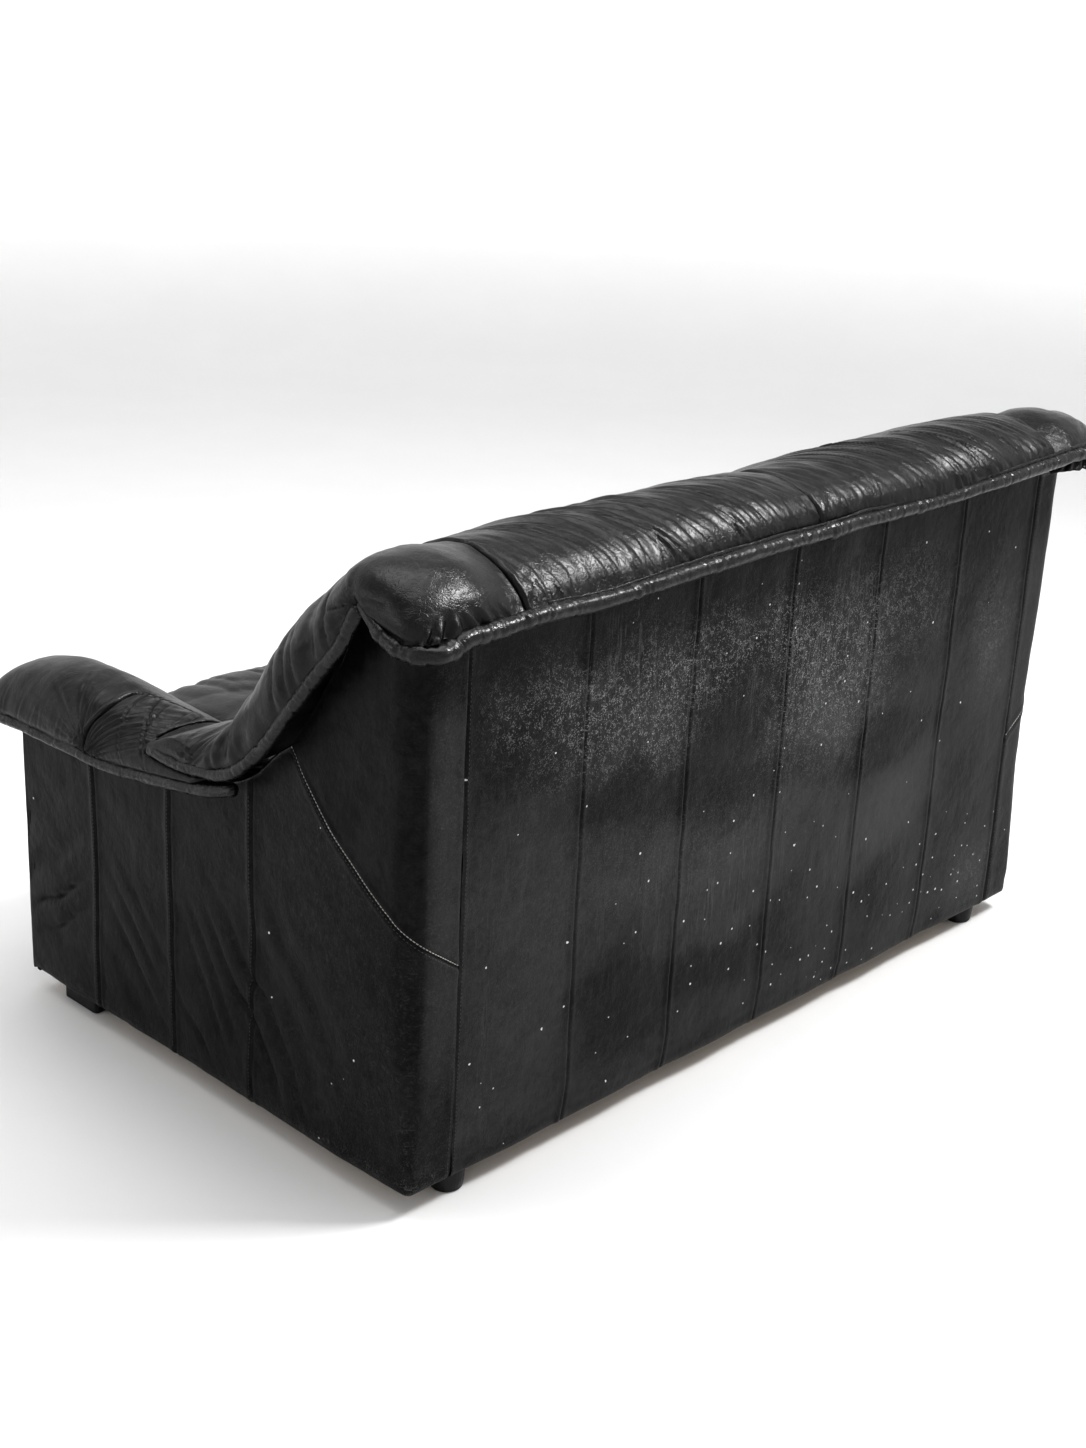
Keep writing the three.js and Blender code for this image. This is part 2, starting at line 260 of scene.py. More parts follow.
def paint(ob, **fields):
    """Stores soft fields of wear and of painted light and shade, one value for each point of a panel's outer face."""
    for name, f in fields.items():
        v = np.concatenate([f.reshape(-1), f[:, 0], f[:, -1]]).astype(np.float32)
        at = ob.data.attributes.new(name, "FLOAT", "POINT")
        at.data.foreach_set("value", np.clip(v, 0, 1))


def blobs(x, z, rows):
    s = np.zeros(np.broadcast(x, z).shape)
    for cx, cz, rx, rz, amp in rows:
        s = s + amp * np.exp(-(np.abs((x - cx) / rx) ** 2.4) - np.abs((z - cz) / rz) ** 2.4)
    return s


def sweep_frames(C, up=(0, 0, 1)):
    """Tangents and two normals along a curve of points."""
    T = np.gradient(C, axis=0)
    T /= np.linalg.norm(T, axis=1, keepdims=True)
    A = np.zeros_like(C)
    a = np.cross(np.array(up, float), T[0])
    if np.linalg.norm(a) < 1e-3:
        a = np.cross(np.array((1.0, 0, 0)), T[0])
    a /= np.linalg.norm(a)
    for i in range(len(C)):
        a = a - T[i] * a.dot(T[i])
        a /= np.linalg.norm(a)
        A[i] = a
    return T, A, np.cross(T, A)


def piping(name, pts, mat, r=(11.5, 11.5), n_side=20, step=2.2, rings=0.9, seed=1, power=1.0, up=(0, 0, 1), wander=0.6, joints=(), seam_at=1.2, thin=None):
    """A welt: leather drawn over cord, with puckers round it. r = (across, along the drop)."""
    C = catmull(pts, 24)
    length = np.linalg.norm(np.diff(C, axis=0), axis=1).sum()
    n = int(length / step)
    C = catmull(pts, n)
    s = np.linspace(0, length, n)
    C = C + wander * np.stack([n1(s / 55, seed), n1(s / 47, seed + 3), n1(s / 51, seed + 6)], 1)
    T, A, B = sweep_frames(C, up)
    th = np.linspace(0, 2 * np.pi, n_side, endpoint=False)
    ca, sa = np.cos(th), np.sin(th)
    ca = np.sign(ca) * np.abs(ca) ** power
    sa = np.sign(sa) * np.abs(sa) ** power
    S, TH = np.meshgrid(s, th, indexing="ij")
    rng = np.random.RandomState(seed * 13 + 5)
    d = 0.7 * n2(S / 30, TH * 1.4, seed) + 0.35 * n2(S / 7, TH * 1.1, seed + 4)
    d += -1.5 * gauss(np.angle(np.exp(1j * (TH - seam_at))), 0.30)
    k, x = 0, 6.0
    while x < length - 6:
        x += rng.uniform(7, 30)
        w, a, tilt = rng.uniform(1.1, 3.0), rng.uniform(0.6, 2.3) * rings, rng.uniform(-7, 7)
        ph = rng.uniform(0, 6.28)
        reach = 0.55 + 0.45 * np.cos(TH - ph)
        q = S - x - tilt * np.cos(TH - ph)
        d += reach * (-a * gauss(q, w) + 0.55 * a * gauss(q - 2.1 * w, 1.5 * w))
    for (jx, ja) in joints:
        q = S - jx * length
        d += ja * (gauss(q, 9) * 1.0) - 1.6 * gauss(q - 10, 1.8) - 1.2 * gauss(q + 9, 1.6)
    e = np.minimum(s, length - s)[:, None] / (0.9 * r[0])
    close = np.sqrt(np.clip(1 - np.clip(1 - e, 0, 1) ** 2, 0.02, 1))
    if thin is not None:
        close = close * np.interp(s / length, thin[0], thin[1])[:, None]
    R = C[:, None] + (A[:, None] * ((r[0] + d) * ca[None] * close)[..., None] + B[:, None] * ((r[1] + d) * sa[None] * close)[..., None])
    return loft(name, R, mat)


def stitches(name, runs, mat, pitch=6.0, length=4.0, width=1.0, rise=0.7):
    """Thread lying on the leather. runs: (points, normals) along each row."""
    verts, faces = [], []
    for P, N in runs:
        P, N = np.asarray(P, float), np.asarray(N, float)
        s = np.concatenate([[0], np.cumsum(np.linalg.norm(np.diff(P, axis=0), axis=1))])
        for c in np.arange(pitch * 0.7, s[-1] - pitch * 0.6, pitch):
            def at(v, arr):
                return np.array([np.interp(v, s, arr[:, k]) for k in range(3)])
            a, b = at(c - length / 2, P), at(c + length / 2, P)
            n = at(c, N)
            n /= np.linalg.norm(n)
            t = b - a
            t /= np.linalg.norm(t)
            side = np.cross(n, t) * width / 2
            mid1, mid2 = a + t * length * 0.25, b - t * length * 0.25
            base = len(verts)
            verts += [a - n * 0.5, mid1 + side, mid1 + n * rise, mid1 - side, mid1 - n * 0.6,
                      mid2 + side, mid2 + n * rise, mid2 - side, mid2 - n * 0.6, b - n * 0.5]
            v = lambda *q: faces.append(tuple(base + i for i in q))
            v(0, 2, 1), v(0, 3, 2), v(0, 4, 3), v(0, 1, 4)
            v(1, 2, 6, 5), v(2, 3, 7, 6), v(3, 4, 8, 7), v(4, 1, 5, 8)
            v(9, 5, 6), v(9, 6, 7), v(9, 7, 8), v(9, 8, 5)
    ob = make(name, np.array(verts), faces, mat, smooth_shade=False)
    return orient(ob)


# ------------------------------------------------------------------ materials
class Nodes:
    def __init__(self, name):
        self.mat = bpy.data.materials.new(name)
        self.mat.use_nodes = True
        self.t = self.mat.node_tree
        self.bsdf = self.t.nodes["Principled BSDF"]
        self.pos = self.t.nodes.new("ShaderNodeTexCoord").outputs["Object"]

    def link(self, a, b):
        self.t.links.new(a, b)

    def node(self, kind, **kw):
        n = self.t.nodes.new(kind)
        for k, v in kw.items():
            setattr(n, k, v)
        return n

    def put(self, sock, v):
        if hasattr(v, "links"):
            self.link(v, sock)
        else:
            sock.default_value = v

    def math(self, op, a, b=0.0, c=None, clamp=False):
        n = self.node("ShaderNodeMath", operation=op, use_clamp=clamp)
        self.put(n.inputs[0], a)
        self.put(n.inputs[1], b)
        if c is not None:
            self.put(n.inputs[2], c)
        return n.outputs[0]

    def scaled(self, sx=1, sy=1, sz=1, shift=(0, 0, 0), rot=(0, 0, 0), src=None):
        n = self.node("ShaderNodeMapping")
        self.link(src or self.pos, n.inputs["Vector"])
        n.inputs["Scale"].default_value = (sx, sy, sz)
        n.inputs["Location"].default_value = shift
        n.inputs["Rotation"].default_value = rot
        return n.outputs[0]

    def noise(self, scale, detail=2.0, rough=0.5, vec=None, distortion=0.0):
        n = self.node("ShaderNodeTexNoise")
        self.link(vec or self.pos, n.inputs["Vector"])
        n.inputs["Scale"].default_value = scale
        n.inputs["Detail"].default_value = detail
        n.inputs["Roughness"].default_value = rough
        n.inputs["Distortion"].default_value = distortion
        return n.outputs["Fac"]

    def voronoi(self, scale, feature="F1", vec=None, out="Distance", random=1.0):
        n = self.node("ShaderNodeTexVoronoi", feature=feature)
        self.link(vec or self.pos, n.inputs["Vector"])
        n.inputs["Scale"].default_value = scale
        n.inputs["Randomness"].default_value = random
        return n.outputs[out]

    def ramp(self, fac, a, b, lo=0.0, hi=1.0):
        n = self.node("ShaderNodeMapRange", interpolation_type="SMOOTHSTEP")
        self.put(n.inputs["Value"], fac)
        n.inputs["From Min"].default_value = a
        n.inputs["From Max"].default_value = b
        n.inputs["To Min"].default_value = lo
        n.inputs["To Max"].default_value = hi
        return n.outputs[0]

    def mix(self, fac, a, b):
        n = self.node("ShaderNodeMix", data_type="RGBA")
        self.put(n.inputs[0], fac)
        for k, v in ((6, a), (7, b)):
            self.put(n.inputs[k], v if hasattr(v, "links") else (*v, 1.0))
        return n.outputs[2]

    def bump(self, height, strength, distance, normal=None):
        n = self.node("ShaderNodeBump")
        n.inputs["Strength"].default_value = strength
        n.inputs["Distance"].default_value = distance
        self.put(n.inputs["Height"], height)
        if normal is not None:
            self.link(normal, n.inputs["Normal"])
        return n.outputs[0]

    def attr(self, name):
        n = self.node("ShaderNodeAttribute", attribute_name=name)
        return n.outputs["Fac"]


def leather(name, base, light, rough=0.36, rough_var=0.14, grain=0.35, scale=1.0, scuff=0.25, specular=0.5):
    """Soft upholstery leather: cellular grain, fine creases, uneven gloss, faint scuffs."""
    g = Nodes(name)
    cells = g.voronoi(620 * scale, vec=g.scaled(1, 1, 1))
    fine = g.noise(1500 * scale, 2.0, 0.6)
    cloud = g.noise(7.5, 4.0, 0.6)
    cloud2 = g.noise(31, 4.0, 0.65)
    rub = g.ramp(g.math("ADD", g.math("MULTIPLY", cloud, 0.65), g.math("MULTIPLY", cloud2, 0.35)), 0.5, 0.72)
    scratch = g.noise(95, 3.0, 0.7, vec=g.scaled(1.0, 0.22, 1.6, rot=(0.3, 0.5, 0.2)), distortion=0.6)
    marks = g.ramp(scratch, 0.66, 0.72)
    worn = g.math("MULTIPLY", g.math("ADD", rub, g.math("MULTIPLY", marks, 0.6)), scuff, clamp=True)
    g.link(g.mix(worn, base, light), g.bsdf.inputs["Base Color"])
    r = g.math("ADD", g.math("MULTIPLY_ADD", cloud2, rough_var * 2, rough - rough_var), g.math("MULTIPLY", marks, 0.12))
    r = g.math("ADD", r, g.math("MULTIPLY", fine, 0.05), clamp=True)
    g.link(r, g.bsdf.inputs["Roughness"])
    b = g.bump(g.math("MULTIPLY", cells, 1.1), grain, 0.0006)
    wr = g.noise(85, 2.0, 0.6, vec=g.scaled(1.0, 1.0, 1.25), distortion=1.0)
    wr = g.ramp(g.math("ABSOLUTE", g.math("SUBTRACT", wr, 0.5)), 0.0, 0.05, 0.0, 1.0)
    b = g.bump(wr, 0.22, 0.0011, b)
    b = g.bump(g.noise(70, 2.0, 0.6, vec=g.scaled(1.0, 1.0, 0.7)), 0.09, 0.004, b)
    g.link(b, g.bsdf.inputs["Normal"])
    g.bsdf.inputs["Specular IOR Level"].default_value = specular
    return g


def plain_leather(name, *a, **k):
    return leather(name, *a, **k).mat


mat_pad = plain_leather("leather_pad", (0.0058, 0.0057, 0.0058), (0.026, 0.0255, 0.026), rough=0.28, rough_var=0.07, grain=0.2, scuff=0.2, specular=0.40)
mat_pipe = plain_leather("leather_piping", (0.0062, 0.0061, 0.0062), (0.05, 0.049, 0.048), rough=0.25, rough_var=0.07, grain=0.2, scuff=0.35, specular=0.5)
mat_front = plain_leather("leather_front", (0.0075, 0.0074, 0.0075), (0.035, 0.035, 0.035), rough=0.4, rough_var=0.1, grain=0.3, scuff=0.25, specular=0.3)


def worn_leather(name, dark, light, mark, flat="XZ", rough=(0.34, 0.62), grain=0.4, specular=0.3):
    """Leather of the outside panels. The mesh carries soft fields: a haze field (dull film, with painted shade and a
    painted gleam in places), marks (fine scratches), specks and drips.
    """
    g = Nodes(name)
    haze, marks, specks, drips = g.attr("haze"), g.attr("marks"), g.attr("specks"), g.attr("drips")
    cells = g.voronoi(560)
    fine = g.noise(1400, 2.0, 0.6)
    cloud = g.noise(14, 4.0, 0.62)
    mottle = g.noise(62, 5.0, 0.7, distortion=0.8)
    grit = g.noise(330, 3.0, 0.7)
    # the haze field lifts the colour from dark to light: dull film, and where the panels carry them, painted shade and
    # a painted gleam
    h = g.math("ADD", haze, g.math("MULTIPLY_ADD", cloud, 0.55, -0.275))
    h = g.math("ADD", h, g.math("MULTIPLY_ADD", mottle, 0.85, -0.425))
    h = g.math("ADD", h, g.math("MULTIPLY", g.math("SUBTRACT", grit, 0.5), g.math("MULTIPLY_ADD", marks, 1.1, 0.35)), clamp=True)
    # short curved scratches: contour lines of a noise, broken up by another
    lines = None
    for sc, wdt, brk in ((58, 0.013, 0.50), (125, 0.026, 0.47)):
        n = g.noise(sc, 2.5, 0.6, distortion=0.9)
        d = g.math("ABSOLUTE", g.math("SUBTRACT", n, 0.5))
        ln = g.ramp(d, 0.0, wdt, 1.0, 0.0)
        ln = g.math("MULTIPLY", ln, g.ramp(g.noise(sc * 0.9, 2.0, 0.6, vec=g.scaled(1, 1, 1, shift=(3.1, 1.7, 0.4))), brk, brk + 0.07))
        lines = ln if lines is None else g.math("MAXIMUM", lines, ln)
    xyz = g.node("ShaderNodeSeparateXYZ")
    g.link(g.pos, xyz.inputs[0])
    flat_ = g.node("ShaderNodeCombineXYZ")
    g.link(g.math("ADD", xyz.outputs[0], xyz.outputs[1]), flat_.inputs[0])
    g.link(xyz.outputs[2], flat_.inputs[1])
    vd = g.node("ShaderNodeTexVoronoi", voronoi_dimensions="2D")
    g.link(flat_.outputs[0], vd.inputs["Vector"])
    vd.inputs["Scale"].default_value = 260
    dots = g.ramp(vd.outputs["Distance"], 0.12, 0.30, 1.0, 0.0)
    dots = g.math("MULTIPLY", dots, g.ramp(g.noise(75, 3.0, 0.6), 0.46, 0.60))
    lines = g.math("MULTIPLY", g.math("MAXIMUM", lines, g.math("MULTIPLY", dots, 0.75)), marks)
    # scattered specks of lint and chips
    v = g.node("ShaderNodeTexVoronoi", voronoi_dimensions="2D")
    g.link(flat_.outputs[0], v.inputs["Vector"])
    v.inputs["Scale"].default_value = 46
    pick = g.node("ShaderNodeSeparateColor")
    g.link(v.outputs["Color"], pick.inputs[0])
    away = g.math("ADD", v.outputs["Distance"], g.math("MULTIPLY_ADD", g.noise(330, 3.0, 0.7), 0.16, -0.08))
    spot = g.ramp(g.math("SUBTRACT", away, g.math("MULTIPLY", pick.outputs[1], 0.055)), 0.012, 0.055, 1.0, 0.0)
    spot = g.math("MULTIPLY", spot, g.math("LESS_THAN", pick.outputs[0], g.math("MULTIPLY", specks, 0.55)))
    # water runs: thin upright streaks
    run = g.noise(1.0, 3.0, 0.6, vec=g.scaled(105, 105, 7.0), distortion=0.25)
    runs = g.math("MULTIPLY", g.ramp(run, 0.60, 0.66), drips)
    edge = g.math("MULTIPLY", g.math("MULTIPLY", g.ramp(run, 0.555, 0.60), g.ramp(run, 0.60, 0.645, 1.0, 0.0)), drips)
    c = g.mix(h, dark, light)
    c = g.mix(g.math("MULTIPLY", runs, 0.75), c, tuple(x * 0.7 for x in dark))
    c = g.mix(g.math("MULTIPLY", edge, 0.16), c, mark)
    c = g.mix(g.math("MULTIPLY", lines, 0.85, clamp=True), c, mark)
    c = g.mix(spot, c, (0.62, 0.61, 0.60))
    g.link(c, g.bsdf.inputs["Base Color"])
    r = g.math("MULTIPLY_ADD", h, rough[1] - rough[0], rough[0])
    r = g.math("ADD", r, g.math("MULTIPLY_ADD", mottle, 0.16, -0.08))
    r = g.math("SUBTRACT", r, g.math("MULTIPLY", runs, 0.12))
    g.link(g.math("ADD", r, g.math("MULTIPLY", lines, 0.1), clamp=True), g.bsdf.inputs["Roughness"])
    ht = g.math("ADD", g.math("MULTIPLY", cells, 0.8), g.math("MULTIPLY", fine, 0.5))
    b = g.bump(ht, grain, 0.0006)
    b = g.bump(g.noise(48, 2.0, 0.6, vec=g.scaled(1, 1, 0.8)), 0.22, 0.006, b)
    g.link(b, g.bsdf.inputs["Normal"])
    g.bsdf.inputs["Specular IOR Level"].default_value = specular
    return g.mat


mat_side = worn_leather("leather_side", (0.0042, 0.0041, 0.0042), (0.045, 0.0446, 0.045), (0.11, 0.108, 0.105), rough=(0.36, 0.56), specular=0.16)
mat_back = worn_leather("leather_back", (0.0042, 0.0041, 0.0043), (0.060, 0.060, 0.062), (0.30, 0.298, 0.295), rough=(0.36, 0.60), grain=0.5, specular=0.18)


def thread(name, colour):
    g = Nodes(name)
    v = g.noise(900, 2.0)
    g.link(g.mix(v, [c * 0.6 for c in colour], colour), g.bsdf.inputs["Base Color"])
    g.bsdf.inputs["Roughness"].default_value = 0.75
    g.link(g.bump(g.noise(2600, 1.0), 0.4, 0.0004), g.bsdf.inputs["Normal"])
    return g.mat


mat_thread = thread("thread_dark", (0.10, 0.10, 0.097))
mat_thread_light = thread("thread_light", (0.62, 0.61, 0.58))

# ------------------------------------------------------------------ shared shapes (mm)
HW, DEPTH, FOOT = 700.0, 836.0, 33.0
SEAMS_BACK = [621 - 2 * 621 * k / 6 for k in range(1, 6)]
S0 = 622.5
SEAMS_SIDE = [-309.0, -483.0, -662.0]

# lower edge of the side of the back pad, and of the arm pad, (y, z)
wing_low = table([(-478, 506), (-409, 503), (-366, 508), (-332, 513), (-299, 527), (-265, 553), (-233, 585), (-195, 632), (-170, 659),
                  (-146, 691), (-123, 718), (-100, 742), (-82, 772), (-68, 794), (-48, 787), (-25, 777), (-5, 769), (12, 766), (40, 767)])
arm_low = table([(-905, 438), (-836, 444), (-792, 446), (-697, 447), (-601, 448), (-508, 457), (-441, 467), (-380, 477), (-330, 489), (-280, 503)])
slant = table([(-229, 574), (-219, 564), (-207, 547), (-184, 520), (-143, 478), (-98, 445), (-61, 419), (-36, 404), (-18, 393), (0, 380)])
rear_low = table([(-760, 808), (-657, 812), (-617, 812), (-542, 808), (-422, 803), (-309, 799), (-200, 796), (-96, 796), (0, 793), (95, 792), (184, 790),
                  (310, 785), (390, 781), (466, 779), (555, 782), (622, 778), (669, 777), (692, 770), (714, 767), (760, 767)])
crown_off = table([(-760, 13), (-552, 14), (-400, 14), (-245, 10), (-78, 4), (44, 0), (239, -2), (425, -4), (560, -5), (760, -4)])


under_wing = table([(-360, 485), (-348, 488), (-297, 515), (-251, 557), (-225, 576), (-206, 599), (-182, 632), (-152, 678), (-128, 721), (-120, 750), (-109, 772)])
# ------------------------------------------------------------------ outer back
def back_face(X, Z):
    """Depth y of the rear leather at x and z."""
    y = 1.4 * fbm2(X / 170, Z / 210, 11) + 0.6 * fbm2(X / 60, Z / 48, 12)
    for k, s in enumerate([S0, *SEAMS_BACK, -S0]):
        sx = seam_x(k, Z)
        d = X - sx
        y += -2.4 * gauss(d, 1.7) + 1.3 * gauss(d - 6, 4.5) + 0.5 * gauss(d + 5, 3.5)
        y += 0.35 * gauss(d, 14) * n1(Z / 16, 40 + k)
    y += 1.6 * np.cos(np.pi * (X / 103.5)) * -0.5
    hem = np.clip((FOOT + 16 - Z) / 16, 0, 1)
    y -= 5 * (1 - np.sqrt(np.clip(1 - hem ** 2, 0, 1)))
    y += 1.2 * gauss(Z - (FOOT + 30), 6) * (0.6 + 0.4 * n1(X / 40, 9))
    return y


def seam_x(k, Z):
    base = [S0, *SEAMS_BACK, -S0][k]
    return base + 1.6 * n1(Z / 190, 60 + k) + 7 * smooth(95, 36, Z) * (1 if 0 < k < 6 else 0.3)


def build_back():
    cols = steps(-S0, S0, 7.0, near=[-S0, *SEAMS_BACK[::-1], S0], fine=1.5, reach=8)
    t = np.concatenate([np.linspace(0, 1, 10)[:-1] * 18, np.linspace(18, 752, 122)])
    X, T = np.meshgrid(cols, t, indexing="ij")
    top = rear_low(X) + 2
    Z = FOOT + T / 752 * (top - FOOT)
    # keep the fine columns on the wandering seams
    shift = np.zeros_like(X)
    for k in range(7):
        shift += (seam_x(k, Z) - [S0, *SEAMS_BACK, -S0][k]) * gauss(X - [S0, *SEAMS_BACK, -S0][k], 60)
    edge = np.minimum(X + S0, S0 - X)
    X = X + shift * smooth(0, 30, edge)
    Y = back_face(X, Z)
    P = np.stack([X, Y, Z], 2)
    N = np.zeros_like(P)
    N[..., 1] = 1
    ob = panel("outer_back", P, N, 7.5, mat_back)
    wx, wz = X + 26 * fbm2(X / 90, Z / 90, 91), Z + 22 * fbm2(X / 80, Z / 80, 92)
    # haze field: dull film and mottle, fading darker towards the top; the wide dark band at z 738 is painted shade
    # under the overhanging back pad and its piping
    haze = 0.38 - 0.21 * smooth(450, 600, wz) + blobs(wx, wz, [
        (330, 620, 130, 72, .26), (440, 662, 80, 28, .12), (300, 560, 80, 40, .20), (100, 650, 130, 40, .06), (-130, 560, 90, 95, .26), (-100, 480, 80, 60, .24), (-250, 600, 60, 60, .12),
        (-540, 520, 75, 95, .24), (-330, 305, 110, 85, .42), (-240, 235, 80, 60, .2), (100, 320, 100, 80, .28), (-60, 330, 60, 70, .18), (300, 352, 90, 52, .22), (480, 330, 100, 150, .10),
        (-560, 120, 70, 55, .24), (-480, 90, 60, 30, .14), (500, 120, 90, 70, .08),
        (530, 592, 62, 36, -.34), (320, 468, 120, 40, -.40), (100, 562, 90, 70, -.24), (60, 440, 140, 40, -.36), (-270, 422, 140, 32, -.42), (300, 170, 92, 62, -.50), (110, 170, 100, 46, -.44),
        (-40, 180, 60, 50, -.2), (-280, 168, 90, 50, -.36), (-500, 285, 84, 110, -.34), (0, 738, 900, 30, -.42), (0, 44, 900, 14, -.16), (640, 300, 22, 500, -.1)])
    haze = 0.37 + 1.3 * (haze - 0.37)
    marks = 0.05 + blobs(wx, wz, [(350, 622, 150, 72, 1.0), (500, 640, 90, 50, .45), (290, 545, 90, 40, .6), (90, 640, 160, 52, .8), (-110, 565, 125, 115, 1.0), (-300, 620, 90, 62, .5), (-540, 540, 60, 100, .35), (200, 380, 260, 90, .12), (-560, 110, 80, 60, .3)])
    specks = 0.06 + blobs(wx, wz, [(-300, 110, 330, 80, .6), (-560, 160, 110, 110, .5), (-140, 300, 200, 160, .2), (200, 200, 200, 120, .15)])
    drips = blobs(wx, wz, [(150, 620, 230, 90, .8), (-110, 600, 90, 130, .9), (120, 300, 260, 120, .45), (-260, 200, 160, 90, .35), (560, 300, 60, 300, .25), (340, 700, 60, 50, .8)])
    paint(ob, haze=haze, marks=marks, specks=specks, drips=drips)
    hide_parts("outer_back_cover")
    runs = []
    for k in range(7):
        z = np.linspace(FOOT + 8, 775, 160)
        for off in ((4.6,) if k else (4.2,)):
            x = seam_x(k, z) + (off if k < 6 else -off + 9)
            if k == 0:
                x = seam_x(0, z) - 4.5
            p = np.stack([x, back_face(x, z) + 0.15, z], 1)
            runs.append((p, np.tile([0, 1, 0], (len(p), 1))))
    st = stitches("outer_back_stitches", runs, mat_thread, pitch=5.6, length=3.4, width=1.0, rise=0.55)
    return [ob, st]


# ------------------------------------------------------------------ side skins
def plan(q, z, s):
    """The side skin in plan, splayed a little towards the top. q = 0 at the end seam of the outer back, 1 at the end of the flat rear part, 2 past the rounded corner, then + (-y - r) to the front."""
    r = 14 + 26 * smooth(45, 300, z) + 6 * smooth(500, 760, z)
    x = np.where(q <= 1, S0 + (HW - r - S0) * q, 0.0)
    y = np.zeros_like(x)
    nx, ny = np.zeros_like(x), np.ones_like(x)
    a = np.clip(q - 1, 0, 1) * np.pi / 2
    arc = (q > 1) & (q <= 2)
    x = np.where(arc, HW - r + r * np.sin(a), x)
    y = np.where(arc, -r + r * np.cos(a), y)
    nx, ny = np.where(arc, np.sin(a), nx), np.where(arc, np.cos(a), ny)
    side = q > 2
    f = (q - 2) / 796.0
    x = np.where(side, HW, x)
    y = np.where(side, -r - (DEPTH - r) * np.clip(f, 0, 1), y)
    nx, ny = np.where(side, 1.0, nx), np.where(side, 0.0, ny)
    # front edge turns onto the arm front
    e = np.clip((f - 1) * 796.0, 0, 14)
    b = np.clip(e / 8.0, 0, 1) * np.pi / 2
    turn = f > 1
    x = np.where(turn, HW - 6 + 6 * np.cos(b) - np.clip(e - 8, 0, 20), x)
    y = np.where(turn, -DEPTH + 0.0 - 6 * np.sin(b) + 0.0, y)
    nx, ny = np.where(turn, np.cos(b), nx), np.where(turn, -np.sin(b), ny)
    flare = (12.0 if s < 0 else 2.0) * smooth(300, 800, z) ** 1.2 * smooth(-360, -120, y)
    return s * (x + flare * np.clip(q, 0, 1)), y, s * nx, ny


def side_bulge(y, z, q, seed):
    """How far the side leather stands off its plane."""
    d = 1.8 * fbm2(y / 190, z / 170, 21 + seed) + 0.5 * fbm2(y / 50, z / 60, 22 + seed)
    for k, sy in enumerate(SEAMS_SIDE):
        t = y - (sy + 2.0 * n1(z / 170, 70 + k + seed))
        d += -2.6 * gauss(t, 1.9) + 1.5 * gauss(t + 6.5, 5) + 0.7 * gauss(t - 6, 4)
        d += 2.2 * (gauss(t, 60)) * -0.5
    # slack diagonal folds, low in the middle, and short ones near the front edge
    low = smooth(420, 260, z) * smooth(40, 90, z)
    a = (y + 250) * 0.80 + (z - 200) * 0.60
    b = -(y + 250) * 0.60 + (z - 200) * 0.80
    d += 4.0 * low * gauss(y + 290, 150) * billow(a / 34 + 0.5 * n1(b / 70, 3), 5 + seed) * gauss(b / 1.0, 170)
    a2 = (z - 230) * 0.78 - (y + 770) * 0.62
    d += 3.2 * gauss(y + 765, 62) * gauss(z - 210, 120) * billow(a2 / 34 + 0.4 * n1(y / 60, 8), 9 + seed)
    a3 = (y + 400) * 0.85 + (z - 170) * 0.52
    d += 2.2 * gauss(y + 405, 62) * gauss(z - 170, 110) * billow(a3 / 30, 12 + seed)
    a4 = (y + 575) * 0.75 + (z - 150) * 0.66
    d += 2.2 * gauss(y + 575, 60) * gauss(z - 150, 120) * billow(a4 / 32, 14 + seed)
    hem = np.clip((FOOT + 16 - z) / 16, 0, 1)
    d -= 5 * (1 - np.sqrt(np.clip(1 - hem ** 2, 0, 1)))
    return d


def slant_z(q, y):
    """Height of the slanting seam along the side skin."""
    return np.where(q > 2, slant(np.clip(y, -229, -40)), np.where(q > 1, 406.0 - (2 - q) * 46, 360 - 27 * (1 - q)))


